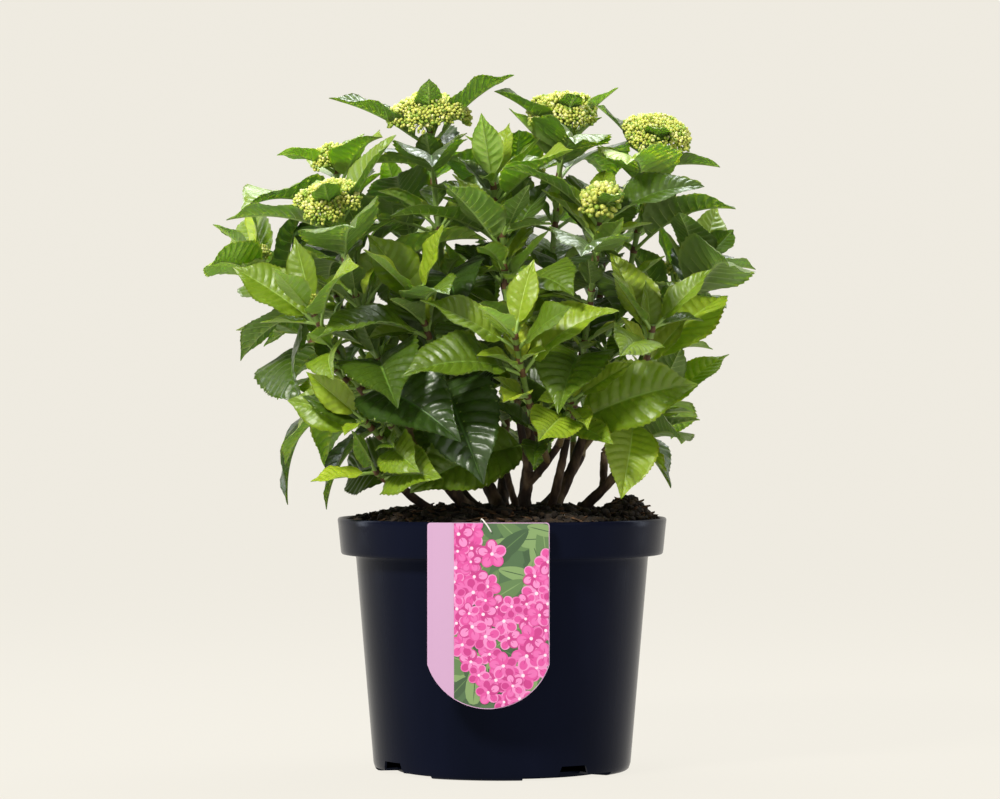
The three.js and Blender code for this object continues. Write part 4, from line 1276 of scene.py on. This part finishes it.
def oval(x, z, long, wide, turn, count, pinch=0.0):
    """An oval whose long side lies along turn; pinch narrows its outer end."""
    c, d = math.cos(turn), math.sin(turn)
    shape = []
    for px, pz in around(1, count):
        px, pz = long * px, wide * pz * (1 - pinch * px)
        shape.append((x + px * c - pz * d, z + px * d + pz * c))
    return shape


build = Build()
layers = itertools.count(1)


def printed(shape, material):
    """One shape of ink, each a hair in front of the one before; none over the punched hole."""
    shape = trimmed(shape)
    if shape and all(math.hypot(x - HOLE_X, z - HOLE_Z) >= HOLE_R + 0.8 for x, z in shape):
        flat_piece(build, shape, INK - INK_STEP * next(layers), material)


flat_piece(build, ground, INK, PRINT_GROUND)
for i in range(PRINT_LEAVES):
    x, z = mix(PRINT_LEFT, LABEL_HALF, random()), mix(LABEL_LOW, LABEL["top"], random())
    leaf_turn = random() * math.pi
    long = 8 + 8 * random()
    printed(oval(x, z, long, long * 0.42, leaf_turn, 16, 0.3), PRINT_GREEN[i % 3])
    printed(oval(x, z, long * 0.92, 0.35, leaf_turn, 6), PRINT_GREEN[(i + 1) % 3])
spots = []
for _ in range(PRINT_TRIES):
    x, z = mix(PRINT_LEFT, LABEL_HALF, random()), mix(LABEL_LOW, LABEL["top"] - 3, random())
    size = 7.2 + 3.2 * random()
    line = LABEL["top"] - GARLAND["below"] - GARLAND["swing"] * math.sin((x + 4) / GARLAND["run"])
    bunch = x < GARLAND["bunch"][0] and z > LABEL["top"] - GARLAND["bunch"][1]
    if abs(z - line) > GARLAND["half"] and not bunch:
        continue
    if math.hypot(x - HOLE_X, z - HOLE_Z) < size + HOLE_R + 1:
        continue
    if all(math.hypot(x - a, z - b) >= 0.5 * (size + c) for a, b, c in spots):
        spots.append((x, z, size))
for number, (x, z, size) in enumerate(spots):
    start = random() * 2
    for petal in range(5):
        way = start + petal * 2 * math.pi / 5
        tone = (number + petal * 3 + int(random() * 2)) % 4
        # a petal, its lighter or darker middle, and its crease
        for out, long, wide, count, ink in (
            (0.5, 0.5, 0.42, 16, tone), (0.62, 0.32, 0.27, 12, (tone + 1) % 4),
            (0.34, 0.26, 0.03, 6, 2),
        ):
            px, pz = x + out * size * math.cos(way), z + out * size * math.sin(way)
            printed(oval(px, pz, long * size, wide * size, way, count), PRINT_PINK[ink])
    printed(oval(x, z, 0.12 * size, 0.12 * size, 0, 10), PRINT_HEART)
build.object("label_print", "label", smooth=False)

# The tie's route is the same as its solid's.
x, z, top = LABEL_HOLE["x"], LABEL_HOLE["z"], LABEL["top"]
route = np.array([
    (x, BACK_Y - 0.2, z), (x - 0.3, FRONT_Y - 1.3, z + 0.6), (x - 2.4, FRONT_Y - 1.5, z + 4),
    (x - 5, FRONT_Y - 0.9, top + 1.3), (x - 6.4, FRONT_Y + 1.4, top + 2.2),
    (x - 6.6, FRONT_Y + 5, top + 0.6), (x - 6.6, FRONT_Y + 7, top - 3),
])
padded = np.concatenate([[2 * route[0] - route[1]], route, [2 * route[-1] - route[-2]]])
path = []
for i in range(1, len(padded) - 2):
    p0, p1, p2, p3 = padded[i - 1 : i + 3]
    a, b, c = p2 - p0, 2 * p0 - 5 * p1 + 4 * p2 - p3, 3 * p1 - p0 - 3 * p2 + p3
    path += [0.5 * (2 * p1 + a * t + b * t**2 + c * t**3) for t in np.linspace(0, 1, 9)[:-1]]
path.append(route[-1])
build = Build()
build.add(*tube(np.array(path), TIE_RADIUS, 10), TIE)
build.object("label_tie_loop", "tie", ["label_tie"])

# ---------------------------------------------------------------- stage, light and camera
# metres from here on
FLOOR_NEAR, FLOOR_FAR = -20.0, 4.5
CURVE = 3
WALL_TOP = 12
STAGE_HALF_WIDTH = 20

profile = [(FLOOR_NEAR, 0.0), (FLOOR_FAR, 0.0)]
for a in np.linspace(0, math.pi / 2, 17)[1:]:
    profile.append((FLOOR_FAR + CURVE * math.sin(a), CURVE - CURVE * math.cos(a)))
profile.append((FLOOR_FAR + CURVE, WALL_TOP))
verts = [(x, y, z) for y, z in profile for x in (-STAGE_HALF_WIDTH, STAGE_HALF_WIDTH)]
faces = [(2 * i, 2 * i + 1, 2 * i + 3, 2 * i + 2) for i in range(len(profile) - 1)]
stage_mesh = bpy.data.meshes.new("stage")
stage_mesh.from_pydata(verts, [], faces)
stage_mesh.polygons.foreach_set("use_smooth", [True] * len(faces))
cream = plain("stage_cream", 0x33322F, 0.95, specular=0.0)
shade(cream, Emission_Color=linear(0xF0ECE2), Emission_Strength=0.97)
stage_mesh.materials.append(cream)
stage = bpy.data.objects.new("stage", stage_mesh)
bpy.context.scene.collection.objects.link(stage)

world = bpy.data.worlds.new("studio")
bpy.context.scene.world = world
world.use_nodes = True
world.node_tree.nodes["Background"].inputs["Color"].default_value = (1.0, 0.985, 0.95, 1)
world.node_tree.nodes["Background"].inputs["Strength"].default_value = 0.28


def area(name, place, target, size, power, colour):
    light = bpy.data.lights.new(name, "AREA")
    light.shape = "RECTANGLE"
    light.size, light.size_y = size
    light.energy = power
    light.color = colour
    obj = bpy.data.objects.new(name, light)
    obj.location = place
    way = Vector(target) - Vector(place)
    obj.rotation_euler = way.to_track_quat("-Z", "Y").to_euler()
    bpy.context.scene.collection.objects.link(obj)


area("key", (-1.0, -1.5, 1.7), (0, 0, 0.3), (0.4, 0.4), 62, (1, 0.98, 0.92))
area("fill", (1.7, -1.4, 0.9), (0, 0, 0.25), (0.8, 1.2), 4, (0.92, 0.96, 1))
area("top", (0.1, 0.55, 1.6), (0, 0, 0.3), (0.9, 0.6), 26, (0.95, 0.98, 1))
area("edge_left", (-1.3, 0.5, 0.6), (0, 0, 0.25), (0.25, 1.2), 5, (0.85, 0.92, 1))
area("edge_right", (1.3, 0.5, 0.6), (0, 0, 0.25), (0.25, 1.2), 3.5, (0.85, 0.92, 1))

camera_data = bpy.data.cameras.new("camera")
camera_data.lens = 136.8
camera_data.sensor_width = 36
camera = bpy.data.objects.new("camera", camera_data)
camera.location = (-0.0014, -2.6, 0.2526)
camera.rotation_euler = (math.pi / 2, 0, 0)
bpy.context.scene.collection.objects.link(camera)
bpy.context.scene.camera = camera
bpy.context.scene.view_settings.view_transform = "Standard"
